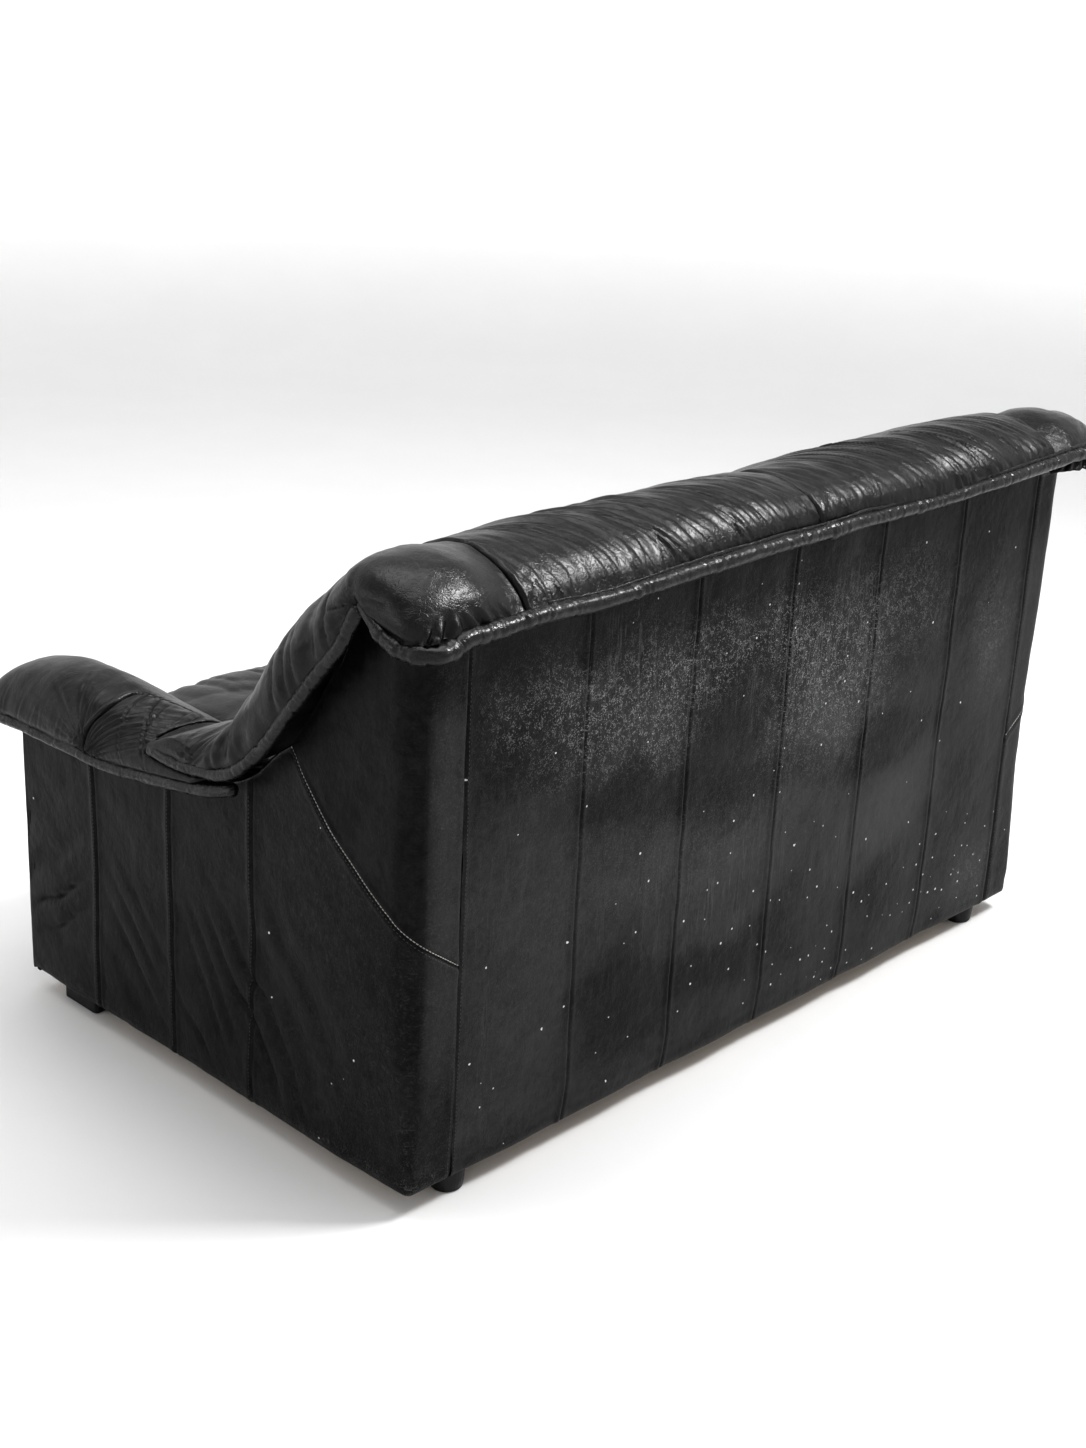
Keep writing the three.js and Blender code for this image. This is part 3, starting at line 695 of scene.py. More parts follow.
def side_pieces(s, name):
    seed = 0 if s > 0 else 50
    qs = np.concatenate([steps(0, 1, 0.16, near=[0], fine=0.04, reach=0.12), np.linspace(1, 2, 17)[1:],
                         2 + steps(0, 796, 7.0, near=[-sy - 40 for sy in SEAMS_SIDE], fine=1.7, reach=9)[1:], 2 + 796 + np.array([2, 4, 6, 8, 14.0])])
    # ---- lower piece
    n, rows = len(qs), 92
    Q = np.repeat(qs[:, None], rows, 1)
    t = np.concatenate([np.linspace(0, 0.035, 8)[:-1], np.linspace(0.035, 1, rows - 7)])
    _, y_mid, _, _ = plan(qs, np.full(n, 400.0), 1)
    arm_top = np.where(y_mid < -352, arm_low(np.clip(y_mid, -905, -302)) - 5, under_wing(np.clip(y_mid, -352, -109)))
    top = np.where(y_mid > -229, slant_z(qs, y_mid), arm_top)
    Z = FOOT + t[None] * (top[:, None] - FOOT)
    X, Y, NX, NY = plan(Q, Z, s)
    D = side_bulge(Y, Z, Q, seed)
    near_seam = np.where((y_mid > -229)[:, None], top[:, None] - Z, 99)
    D += -2.2 * gauss(near_seam, 2.2) + 1.2 * gauss(near_seam - 8, 5)
    wrap = np.where(Q <= 1, Q * (HW - 40 - S0), 99)
    D += -2.0 * gauss(wrap, 2.2) + 1.0 * gauss(wrap - 7, 5)
    D *= np.where(Q > 2 + 796, 0.3, 1)
    # scuffed, pushed-in foot of the rear corner
    D += -3.0 * gauss(Z - 52, 14) * gauss((np.clip(Q, 0, 3) - 1.6), 0.5)
    P = np.stack([X + NX * D, Y + NY * D, Z], 2)
    N = np.stack([NX, NY, 0 * NX], 2)
    low = panel(f"side_leather_{name}", P, N, 7.5, mat_side)
    wy, wz = Y + 24 * fbm2(Y / 90, Z / 90, 93 + seed), Z + 22 * fbm2(Y / 80, Z / 80, 94 + seed)
    # the corner mask lifts the haze over the rounded rear corner: a painted gleam; the corner marks are scratches
    corner = smooth(0.02, 0.12, Q) * smooth(1.36, 1.20, Q)
    paint(low, haze=0.43 * (0.34 + blobs(wy, wz, [(-420, 330, 120, 90, .14), (-560, 340, 60, 90, .16), (-760, 340, 60, 70, .12), (-120, 200, 90, 140, .12), (-220, 260, 50, 120, .12), (-600, 120, 60, 60, -.2), (-420, 110, 90, 60, -.1),
                                          (-50, 420, 60, 200, -.25), (-250, 460, 70, 50, -.3)]) + 1.3 * corner * smooth(150, 260, Z) * smooth(690, 650, Z)),
          marks=0.10 + 0.16 * smooth(-420, -100, Y) + 0.55 * gauss(Z - 44, 12) + 0.5 * gauss(Z - 60, 50) * gauss(Q - 2, 0.8), specks=0.008 + blobs(wy, wz, [(-180, 200, 150, 150, .03)]), drips=0.2 * smooth(300, 500, Z))
    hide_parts(f"side_cover_{name}")
    # ---- upper piece, behind the slanting seam
    keep = y_mid > -232
    qs2 = qs[keep]
    n2_, rows2 = len(qs2), 84
    Q = np.repeat(qs2[:, None], rows2, 1)
    ym = y_mid[keep]
    z0 = slant_z(qs2, ym) + 0.8
    zt = np.where((qs2 > 2) & (ym < -109), under_wing(np.clip(ym, -352, -109)), 776)
    zt = np.maximum(zt, z0 + 2)
    t = np.linspace(0, 1, rows2)
    Z = z0[:, None] + t[None] * (zt - z0)[:, None]
    X, Y, NX, NY = plan(Q, Z, s)
    D = side_bulge(Y, Z, Q, seed)
    up = Z - z0[:, None]
    D += -2.4 * gauss(up, 2.2) + 1.6 * gauss(up - 7, 5)
    wrap = np.where(Q <= 1, Q * (HW - 40 - S0), 99)
    D += -2.0 * gauss(wrap, 2.2) + 1.0 * gauss(wrap - 7, 5)
    P = np.stack([X + NX * D, Y + NY * D, Z], 2)
    N = np.stack([NX, NY, 0 * NX], 2)
    hi = panel(f"wing_leather_{name}", P, N, 7.5, mat_side)
    # the corner mask lifts the haze over the rounded rear corner: a painted gleam; the corner marks are scratches
    corner = smooth(0.02, 0.12, Q) * smooth(1.36, 1.20, Q)
    paint(hi, haze=0.43 * (0.24 + blobs(Y, Z, [(-60, 560, 60, 120, .12), (-150, 520, 60, 60, -.15)]) + 1.45 * corner * smooth(205, 250, Z) * smooth(720, 640, Z) + 0.1 * fbm2(Y / 60, Z / 110, 95)),
          marks=0.08 + 0.25 * corner + 0 * Z, specks=0 * Z, drips=0.15 + 0 * Z)
    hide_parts(f"wing_cover_{name}")
    # ---- thread along the seams
    runs, light = [], []
    for k, sy in enumerate(SEAMS_SIDE):
        z = np.linspace(FOOT + 10, float(arm_low(max(sy, -330))) - 12, 120)
        y = sy + 2.0 * n1(z / 170, 70 + k + seed) - 4.8
        q = 2 + (-y - 40) * 796 / 796.0
        xx, yy, nx, ny = plan(q, z, s)
        yy = y
        d = side_bulge(yy, z, q, seed) + 0.15
        p = np.stack([xx + nx * d, yy + ny * d, z], 1)
        runs.append((p, np.stack([nx, ny, 0 * nx], 1)))
    q = np.concatenate([np.linspace(0.05, 1, 20), np.linspace(1, 2, 30)[1:], 2 + np.linspace(0, 188, 90)[1:]])
    zz = np.full(len(q), 440.0)
    for _ in range(3):
        xx, yy, nx, ny = plan(q, zz, s)
        zz = slant_z(q, yy)
    for off, bag in ((2.6, light), (-4.2, runs)):
        z = zz + off
        xx, yy, nx, ny = plan(q, z, s)
        d = side_bulge(yy, z, q, seed) + (0.2 if off > 0 else 0.6)
        bag.append((np.stack([xx + nx * d, yy + ny * d, z], 1), np.stack([nx, ny, 0 * nx], 1)))
    z = np.linspace(FOOT + 10, 772, 150)
    q = np.full(len(z), 0.13)
    xx, yy, nx, ny = plan(q, z, s)
    runs.append((np.stack([xx, yy + 0.9 + side_bulge(yy, z, q, seed), z], 1), np.stack([nx, ny, 0 * nx], 1)))
    a = stitches(f"side_stitches_{name}", runs, mat_thread, pitch=5.6, length=3.4, width=1.0, rise=0.6)
    b = stitches(f"slant_stitches_{name}", light, mat_thread_light, pitch=5.0, length=4.4, width=1.5, rise=0.9)
    return [low, hi, a, b]


# ------------------------------------------------------------------ back pad, main segments
SECTION = {  # rear edge to crown, (y, z), at the outer seams and the centre seam
    560: [(31, 783), (18, 801), (1, 816), (-19, 828), (-45, 837), (-70, 842), (-96, 841), (-127, 834)],
    0: [(33, 797), (29, 811), (19, 825), (1, 837), (-26, 846), (-52, 851), (-80, 850), (-108, 845)],
    -560: [(59, 824), (52, 837), (34, 851), (15, 860), (-12, 869), (-39, 872), (-66, 871), (-94, 864)],
}


def back_profile(x):
    """Closed outline (points, 2) in (y, z) of the main back pad at x, from the rear lower edge, over the top and down the front."""
    near, mid, far = (np.array(SECTION[k], float) for k in (560, 0, -560))
    t = abs(x) / 560.0
    rear = mid * (1 - t) + (near if x > 0 else far) * t
    e = float(rear_low(x)) + (8 * smooth(-200, -560, x))
    foot = [(rear[0, 0] - 6, e - 6), (rear[0, 0] + 2, e + 2)]
    c = rear[7, 1] - 846
    return foot + [tuple(p) for p in rear] + [
        (-155, 829 + c * .6), (-192, 803 + c * .3), (-226, 768), (-252, 723), (-272, 668), (-289, 600), (-303, 530), (-310, 478), (-303, 446), (-282, 434),
        (-200, 433), (-120, 434), (-98, 446), (-92, 520), (-88, 640), (-84, 735), (-80, 764), (-60, 768), (-24, 770), (-8, 774), (-4, e - 8)]


def main_segment(s, name):
    x0, x1 = 0.6, 560.0
    xs = steps(x0, x1, 3.0, near=[x0, x1], fine=1.1, reach=10)
    seed = 3 if s > 0 else 8
    rings, m_top, m_front, m_rest = [], 70, 62, 40
    for xa in xs:
        x = s * xa
        c = catmull(back_profile(x), 600, closed=True)
        seg = np.concatenate([[0], np.cumsum(np.linalg.norm(np.diff(c, axis=0), axis=1))])
        i_crown = int(np.argmax(c[:, 1]))
        # stations: rear edge to beyond the crown fine, then the front, then the hidden rest
        k_top = i_crown + int(np.argmax(c[i_crown:, 0] < -200))
        k_bot = k_top + int(np.argmax(c[k_top:, 1] < 437))
        q = np.concatenate([np.linspace(0, seg[k_top], m_top, endpoint=False), np.linspace(seg[k_top], seg[k_bot], m_front, endpoint=False),
                            np.linspace(seg[k_bot], seg[-1], m_rest, endpoint=False)])
        rings.append(np.stack([np.interp(q, seg, c[:, 0]), np.interp(q, seg, c[:, 1])], 1))
    R = np.array(rings)
    n, m = R.shape[:2]
    T = np.roll(R, -1, 1) - np.roll(R, 1, 1)
    T /= np.linalg.norm(T, axis=2, keepdims=True) + 1e-9
    NRM = np.stack([T[..., 1], -T[..., 0]], 2)
    if (NRM[n // 2, 20] @ np.array([0.3, 1.0])) < 0:
        NRM = -NRM
    arc = np.concatenate([np.zeros((n, 1)), np.cumsum(np.linalg.norm(np.diff(R, axis=1), axis=2), axis=1)], 1)
    XA = np.repeat(xs[:, None], m, 1)
    X = s * XA
    top = smooth(430, 250, arc)               # 1 over the rear and top, 0 on the front
    rest = smooth(0, 6, np.arange(m)[None] - (m_top + m_front - 4)) * np.ones((n, 1))
    live = 1 - rest
    end = np.minimum(XA - x0, x1 - XA)
    D = np.zeros_like(XA)
    D += 5.5 * (1 - np.exp(-end / 70)) * live * (0.55 + 0.45 * smooth(10, 90, arc))
    D += -2.4 * gauss(end, 2.0) + 0.5 * gauss(end - 5, 3.0)
    # gathers: long slanting folds over the top, strongest mid-way, and short ones on the rear face
    mid = 250 if s > 0 else 330
    rng = np.random.RandomState(71 + seed)
    W1 = s * XA                                   # runs towards the near end
    strength = gauss(XA - mid, 175)
    for k in range(38):
        x_at = x0 + 14 + (x1 - 28) * (k + rng.uniform(-0.4, 0.4)) / 38.0
        st = float(gauss(x_at - mid, 190))
        lean = rng.uniform(0.34, 0.62)
        a_mid, a_len = rng.uniform(60, 190), rng.uniform(40, 110)
        w, amp = rng.uniform(2.2, 6.0), rng.uniform(0.8, 3.3) * (0.12 + 0.95 * st)
        bow = rng.uniform(-0.0012, 0.0022)
        t = W1 - s * x_at - lean * (arc - 60) - bow * (arc - 90) ** 2
        along = gauss(arc - a_mid, a_len) * smooth(6, 30, arc)
        D += live * amp * along * (-1.15 * gauss(t, w * 0.7) + 0.95 * gauss(t - 1.7 * w, w * 1.15) + 0.35 * gauss(t + 1.8 * w, w * 1.3))
    for k in range(44):
        x_at = x0 + 10 + (x1 - 20) * (k + rng.uniform(-0.45, 0.45)) / 44.0
        w, amp = rng.uniform(1.5, 3.0), rng.uniform(0.4, 1.8)
        a_mid, a_len = rng.uniform(16, 44), rng.uniform(14, 34)
        lean = rng.uniform(-0.35, 0.5)
        t = W1 - s * x_at - lean * (arc - 20)
        D += live * amp * gauss(arc - a_mid, a_len) * (-1.1 * gauss(t, w * 0.6) + 0.9 * gauss(t - 1.6 * w, w))
    D += live * top * 1.5 * smooth(10, 40, arc) * fbm2(W1 / 42 - arc / 80, arc / 120, seed + 6)
    D += live * 0.5 * fbm2(X / 17 - arc / 60, arc / 40, seed + 9)
    # folds pulled from the ends of the seams
    for (ex, sgn) in ((x1, -1), (x0, 1)):
        dx = (XA - ex) * sgn
        for (a0, slope, w, amp) in ((8, 1.5, 2.4, 1.7), (20, 1.0, 2.6, 2.0), (52, 0.4, 4.5, 1.0)):
            t = arc - (a0 + slope * dx)
            D += live * amp * (-gauss(t, w) + 0.8 * gauss(t - 1.9 * w, 1.3 * w)) * np.exp(-dx / 26) * smooth(0, 5, dx)
    # front: soft vertical drape folds and a slight belly
    D += live * (1 - top) * (2.2 * billow(X / 62 + 0.4 * n1(arc / 90, seed), seed + 7) * gauss(arc - 640, 190) + 2.0 * fbm2(X / 120, arc / 110, seed + 8))
    D += -3.0 * gauss(arc, 7) * live
    D *= 1 - rest
    R = R + NRM * D[..., None]
    P = np.concatenate([X[..., None], R], 2)
    # close the ends softly towards the middle of the outline
    ends = []
    for k, sgn in ((0, -1), (n - 1, 1)):
        c = np.array([P[k, 0, 0], -150.0, 640.0])
        ring = P[k].copy()
        mid_pt = P[k].mean(0)
        ring = ring + (mid_pt - ring) * 0.03
        ring[:, 0] = P[k, :, 0] + s * sgn * 0.9
        ends.append(ring)
    P = np.concatenate([ends[0][None], P, ends[1][None]], 0)
    # clear the arm pad at the outer lower corner
    low = smooth(509, 500, P[..., 2]) * (np.abs(P[..., 0]) > 500)
    P[..., 0] = np.where(low > 0, s * (500 + (np.abs(P[..., 0]) - 500) * (1 - low)), P[..., 0])
    ob = loft(f"back_pad_{name}_leather", P, mat_pad)
    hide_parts(f"back_pad_{name}")
    return ob


# ------------------------------------------------------------------ arm pad
arm_crown = table([(-905, 466), (-890, 488), (-865, 505), (-828, 523), (-776, 535), (-739, 540), (-690, 541), (-643, 536), (-596, 530), (-539, 524), (-495, 519), (-440, 512), (-380, 510), (-290, 510)])


def arm_point(y, th, grow=0.0):
    """Point of the arm pad's section at y. th = 0 at the outer lower edge, pi at the inner one."""
    lo = arm_low(y)
    zc = arm_crown(y)
    end = np.sqrt(np.clip(1 - ((-(y) - 842) / 62.0).clip(0, 1) ** 2, 0.001, 1))
    xc = 655.0
    k = 0.55 + 0.45 * end
    c, sn = np.cos(th), np.clip(np.sin(th), 0, 1)
    t = np.abs(c)
    tuck = 1 - 0.70 * smooth(-385, -315, y)
    x = np.where(c > 0, xc + 86.0 * k * tuck * t ** 0.74, xc - 149.0 * k * t)
    lo = lo + np.where(c > 0, np.minimum(7.0 + 20 * smooth(-352, -306, y), zc - 9 - lo), np.minimum(441.0 - lo, 0.0)) * smooth(0.0, 0.6, t)
    H = (zc - lo) * (0.35 + 0.65 * end) + grow
    e2 = 0.12 ** 2
    fall = ((t * t + e2) ** 0.61 - e2 ** 0.61) / ((1 + e2) ** 0.61 - e2 ** 0.61)
    z = lo + H * np.where(c > 0, sn ** 0.80, 1 - fall)
    return x, z


def arm_z(x, y):
    """Height of the arm pad's top at x and y."""
    u = np.where(x > 655, (np.abs(x - 655) / 86.0).clip(0, 1) ** (1 / 0.74), -(np.abs(x - 655) / 149.0).clip(0, 1))
    th = np.arccos(np.clip(u, -1, 1))
    return arm_point(np.asarray(y, float), th)[1]


ARM_SEAM = table([(0, -620), (26, -622), (50, -614), (75, -605), (100, -603), (125, -606), (140, -600), (150, -586), (161, -561), (176, -534), (205, -503), (260, -470), (320, -450)])


def arm_pad(s, name):
    seed = 31 if s > 0 else 36
    ys = np.concatenate([-904 + 62 * (1 - np.cos(np.linspace(0.02, np.pi / 2, 24))), np.linspace(-842, -640, 64)[1:], np.linspace(-640, -470, 146)[1:], np.linspace(-470, -264, 66)[1:]])
    m = 122
    th = np.concatenate([np.linspace(-0.30, np.pi + 0.30, m - 14), np.linspace(np.pi + 0.30, 2 * np.pi - 0.30, 16)[1:-1]])
    Y, TH = np.meshgrid(ys, th, indexing="ij")
    tt = np.clip(TH, 0, np.pi)
    X, Z = arm_point(Y, tt)
    under = (TH < 0) | (TH > np.pi)
    out_low = np.minimum(arm_low(Y) + 4 + 20 * smooth(-352, -306, Y), arm_crown(Y) - 12)
    low = np.where(TH < 0, out_low, np.minimum(arm_low(Y), 441.0))
    xin = 626 + (X - 626) * np.where(under, 0.97, 1.0)
    f = np.where(TH < 0, -TH / 0.30, np.where(TH > np.pi, np.clip((TH - np.pi) / 0.30, 0, 1), 0))
    X = np.where(under, xin, X)
    Z = np.where(under, low - 3.0 * np.minimum(f, 1), Z)
    flat = TH > np.pi + 0.30
    u = (TH - np.pi - 0.30) / (np.pi - 0.60)
    Xa, Xb = 626 - 112 * 0.97, 626 + 112 * 0.97
    endf = (0.55 + 0.45 * np.sqrt(np.clip(1 - ((-Y - 842) / 62.0).clip(0, 1) ** 2, 0.001, 1)))
    x_out = 626 + (655 + 86 * endf * (1 - 0.70 * smooth(-385, -315, Y)) - 626) * 0.97
    X = np.where(flat, (626 - 110 * endf) * (1 - u) + x_out * u, X)
    Z = np.where(flat, low - 3.0 + u * (out_low - low), Z)
    P = np.stack([X, Y, Z], 2)
    # arc length across, from the outer edge, and the distance from the segment seam
    A = np.concatenate([np.zeros((len(ys), 1)), np.cumsum(np.linalg.norm(np.diff(P, axis=1), axis=2), axis=1)], 1)
    N = normals(P)
    if N[60, 50, 2] < 0:
        N = -N
    live = np.where((TH > -0.1) & (TH < np.pi + 0.1), 1.0, 0.0) * smooth(-905, -880, Y) * smooth(-264, -280, Y)
    seam_y = ARM_SEAM(np.clip(A, 0, 320))
    ds = Y - seam_y
    along = smooth(330, 240, A)
    D = along * (-5.5 * gauss(ds, 1.9) + 2.2 * gauss(ds + 5.5, 3.6) + 0.8 * gauss(ds - 6, 4) - 2.0 * gauss(ds, 16))
    front = smooth(4, -8, ds)
    rng = np.random.RandomState(seed)
    D += front * fan(-Y, A, 618, 8, [(d + rng.uniform(-2, 2), rng.uniform(-0.2, 0.1), rng.uniform(2.4, 3.6), h, 12, rc)
                                      for d, h, rc in ((6, 1.8, 44), (20, 2.6, 50), (35, 3.0, 58), (50, 2.9, 66), (65, 2.9, 72), (80, 2.2, 60))])
    D += (1 - front) * fan(Y, A, -616, 6, [(d + rng.uniform(-2, 2), b_, rng.uniform(2.3, 3.4), h, 12, rc)
                                           for d, b_, h, rc in ((4, 0.1, 2.0, 60), (12, 0.05, 3.2, 90), (20, 0.0, 3.8, 115), (29, -0.05, 4.0, 130), (38, -0.10, 4.0, 135), (48, -0.14, 3.9, 130),
                                                                (58, -0.16, 3.4, 110), (69, -0.18, 2.9, 90), (81, -0.2, 2.2, 70))])
    # rear segment: slack folds lying across, towards the tongue
    for k in range(11):
        y_at = -585 + 24 * k + rng.uniform(-7, 7)
        w, h, lean = rng.uniform(2.4, 4.0), rng.uniform(1.4, 3.4), rng.uniform(0.35, 0.75)
        am, al = rng.uniform(80, 190), rng.uniform(45, 90)
        D += (1 - front) * h * crease(Y - y_at + lean * (A - 120) - 0.0012 * (A - 120) ** 2, w) * gauss(A - am, al)
    for k in range(9):
        y_at = -880 + 30 * k + rng.uniform(-9, 9)
        w, h, lean = rng.uniform(2.2, 3.6), rng.uniform(0.5, 1.5), rng.uniform(-0.5, -0.1)
        D += front * h * crease(Y - y_at + lean * (A - 20), w) * gauss(A - 22, 24)
    D += front * 1.6 * billow(Y / 75 - A / 160, seed + 4) * smooth(20, 90, A)
    D += 2.0 * smooth(-845, -900, Y) * billow(TH * 2.6, seed + 8) * np.sin(np.clip(TH, 0, np.pi))
    D += 1.0 * fbm2(Y / 60, A / 60, seed + 5) + 0.25 * n2(Y / 9, A / 22, seed + 13)
    D += -4 * gauss(A - 8, 4.5)
    bed = smooth(-502, -480, Y) * smooth(14, 40, A) * smooth(330, 260, A)
    D = D * (1 - 0.9 * bed) - 3.0 * bed
    P = P + N * (D * live)[..., None]
    P[..., 0] *= s
    ob = loft(f"arm_pad_{name}_leather", P, mat_pad)
    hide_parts(f"arm_pad_{name}")
    return ob


# ------------------------------------------------------------------ wing pad with its tongue and corner lobe
# along the wing: station, outer edge (y, z), direction of the roll's height (degrees, 90 up, 180 forward), its height, its inner end in x
WING = [
    (0, -480, 498, 90, 3, 718), (5, -479, 500, 90, 6, 692), (10, -477, 502, 90, 8, 660), (16, -474, 503, 90, 10, 628), (24, -469, 504, 90, 13, 604),
    (40, -456, 504, 91, 20, 592), (66, -434, 503, 94, 30, 584), (100, -403, 503, 100, 41, 578), (135, -368, 507, 108, 50, 573),
    (170, -334, 513, 119, 61, 570), (205, -299, 527, 130, 71, 566), (245, -265, 553, 138, 83, 564), (288, -233, 585, 142, 90, 563), (348, -195, 632, 142, 95, 562.5), (423, -146, 691, 141, 96, 562.5),
    (488, -100, 742, 138, 87, 562.5), (524, -82, 772, 129, 73, 562.5), (548, -68, 789, 114, 66, 562.5), (566, -50, 786, 99, 69, 562.5), (588, -27, 777, 82, 71, 562.5), (608, -2, 771, 80.7, 62, 562.5),
    (626, 16, 768, 79, 49, 562.5), (642, 28, 769, 77, 32, 562.5), (654, 35, 774, 68, 15, 562.5), (662, 38, 778, 27, 5, 562.5),
]
# inner end of the wing pad, along the seam to the back pad, (y, z)
WING_IN = table([(430, -215, 765), (488, -165, 810), (524, -127, 832), (548, -96, 840), (566, -70, 841), (588, -45, 836), (608, -19, 827), (626, 1, 815), (642, 18, 800), (654, 27, 788), (662, 32, 782)])


def wing_pad(s, name):
    seed = 41 if s > 0 else 46
    W = table(WING)
    us = np.concatenate([np.linspace(0, 30, 16, endpoint=False), np.linspace(30, 500, 112, endpoint=False), np.linspace(500, 662, 68)])
    m = 84
    a0 = -0.42
    th = np.linspace(a0, np.pi - 0.05, m)
    U, TH = np.meshgrid(us, th, indexing="ij")
    w = W(us)
    ey, ez, ang, H, xin = [w[:, k][:, None] for k in range(5)]
    ang = np.radians(ang)
    # section: round towards the outer edge; the crown lies inboard
    full = smooth(500, 600, U)
    flap = smooth(150, 60, U)
    xo = 741 - 12 * smooth(612, 662, U)
    xc = 640 + 12 * full
    xc = np.maximum(xc, (xin + 722) / 2 + 4)
    c, sn = np.cos(TH), np.sin(TH)
    a_out, a_in = xo - xc, xc - xin
    ex = 1.0 - 0.16 * full
    X = np.where(c > 0, xc + a_out * np.abs(c) ** ex, xc - a_in * np.abs(c) ** 0.9)
    s0 = np.sin(a0)
    hh = (np.sign(sn) * np.abs(sn) ** ex + abs(s0) ** ex) / (1 + abs(s0) ** ex)
    hh = hh * (1 - flap) + np.clip(hh * 1.9, 0, 1) * flap
    fin = smooth(430, 510, U)
    inner = np.where(c < 0, np.abs(c), 0)
    roll = np.sqrt(np.clip(1 - inner ** 2.6, 0, 1))
    hh = np.where(c < 0, (1 - fin) * (0.16 + 0.84 * roll) + fin, hh)
    Y = ey + np.cos(ang) * H * hh
    Z = ez + np.sin(ang) * H * hh
    inn = WING_IN(np.clip(us, 430, 662))
    wi = fin * smooth(0.0, 1.0, inner) * np.where(c < 0, 1.0, 0.0)
    Y = Y + (inn[:, 0][:, None] - Y) * wi
    Z = Z + (inn[:, 1][:, None] - Z) * wi
    if s < 0:
        top_w = smooth(430, 560, U)
        Z = Z + top_w * (40 - 25 * hh)
        Y = Y + top_w * (14 + 18 * smooth(560, 640, U) * hh * 0.4)
    # the tongue lies on the arm pad
    on = smooth(150, 60, U) * smooth(-0.3, 0.25, TH)
    za = arm_z(np.clip(X, 560, 738), Y) + 3 + 3.0 * smooth(0, 14, U)
    Z = Z + (np.maximum(Z, za) - Z) * on
    P = np.stack([X, Y, Z], 2)
    A = np.concatenate([np.zeros((len(us), 1)), np.cumsum(np.linalg.norm(np.diff(P, axis=1), axis=2), axis=1)], 1)
    N = normals(P)
    if N[90, 40, 2] < 0:
        N = -N
    D = np.zeros_like(U)
    wing = smooth(95, 150, U) * smooth(560, 500, U)
    D += wing * 3.2 * smooth(0, 30, A) * billow((U - 0.45 * A) / 27 + 0.35 * n1(A / 40, seed), seed) * (0.5 + 0.7 * gauss(U - 170, 70) + 0.35 * gauss(U - 420, 80))
    D += wing * 1.3 * billow((U - 0.3 * A) / 13, seed + 1) * gauss(A - 30, 40) * (0.4 + gauss(U - 170, 50))
    # corner lobe: a dome with puckers pulled into the piping and into the notch
    lobe = smooth(560, 600, U)
    D += lobe * (3.0 if s > 0 else 0.5) * gauss(X - 650, 60) * np.sin(np.clip((U - 560) / 102, 0, 1) * np.pi)
    notch_r = np.hypot((U - 552) * 0.9, A - 8)
    notch_a = np.arctan2(A - 8 + 1e-3, (U - 552))
    D += -11 * gauss(U - 552, 6) * np.exp(-A / 20) - 3 * gauss(U - 552 + 0.10 * A, 12) * np.exp(-A / 34)
    D += 3.8 * smooth(6, 22, notch_r) * np.exp(-notch_r / 46) * billow(notch_a * 2.8, seed + 2)
    foot = smooth(632, 652, U)
    D += 0.7 * foot * billow(X / 13 + 0.3 * n1(U / 9, seed), seed + 3) * smooth(562, 590, X)
    for px, pw, amp, lean in ((645, 5.0, 6.5, 0.7), (699, 6, 7.0, -0.5), (672, 4.5, 3.5, 0.2), (722, 4.5, 4.5, -0.9), (602, 4.5, 3.0, 0.8), (622, 4, 2.0, 0.6)):
        q = X - px - lean * (652 - U)
        D += amp * (-gauss(q, pw) + 0.45 * gauss(q - 2 * pw, pw * 1.2) + 0.3 * gauss(q + 2 * pw, pw * 1.2)) * smooth(632, 651, U)
    # fine set of the hide over the lobe
    D += 0.28 * lobe * n2(X / 26, (U - 0.3 * X) / 7, seed + 11) + 0.2 * lobe * n2(X / 12, (U + 0.2 * X) / 3.5, seed + 12)
    D += fan(U, A, 118.0, 4.0, [(20, 0.25, 3.4, 1.6, 16, 45), (38, 0.2, 3.6, 2.2, 14, 60), (58, 0.15, 3.6, 2.4, 14, 70), (80, 0.1, 3.6, 2.2, 14, 70), (103, 0.0, 3.2, 1.8, 14, 50), (128, -0.1, 3.0, 1.4, 16, 40)])
    # stitched ridge along the front edge of the tongue
    D += smooth(-0.1, 0.2, TH) * (1.6 * gauss(U - 6, 3.0) - 1.4 * gauss(U - 13, 2.6)) * (0.8 + 0.2 * np.cos(A * 1.1))
    D += (1 - 0.75 * lobe) * (1.2 * fbm2(U / 45, A / 45, seed + 4) * smooth(60, 130, U) + 0.5 * fbm2(U / 20, A / 20, seed + 5))
    near_seam = X - 562.5
    D += fin * (-2.4 * gauss(near_seam, 2.0) + 0.5 * gauss(near_seam - 5, 3.0))
    P = P + N * D[..., None]
    # close underneath: back to the outer edge along the bed
    bed = []
    for f in np.linspace(0, 1, 9)[1:-1]:
        a, b = P[:, -1], P[:, 0]
        q = a + (b - a) * f
        sag = np.sin(np.pi * f)
        q = q + np.stack([0 * ey[:, 0], -np.cos(ang[:, 0]) * 0, 0 * ey[:, 0]], 1) * sag
        bed.append(q)
    bed = np.stack(bed, 1)
    R = np.concatenate([P, bed], 1)
    R[..., 0] *= s
    ob = loft(f"wing_pad_{name}_leather", R, mat_pad)
    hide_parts(f"wing_pad_{name}")
    return ob


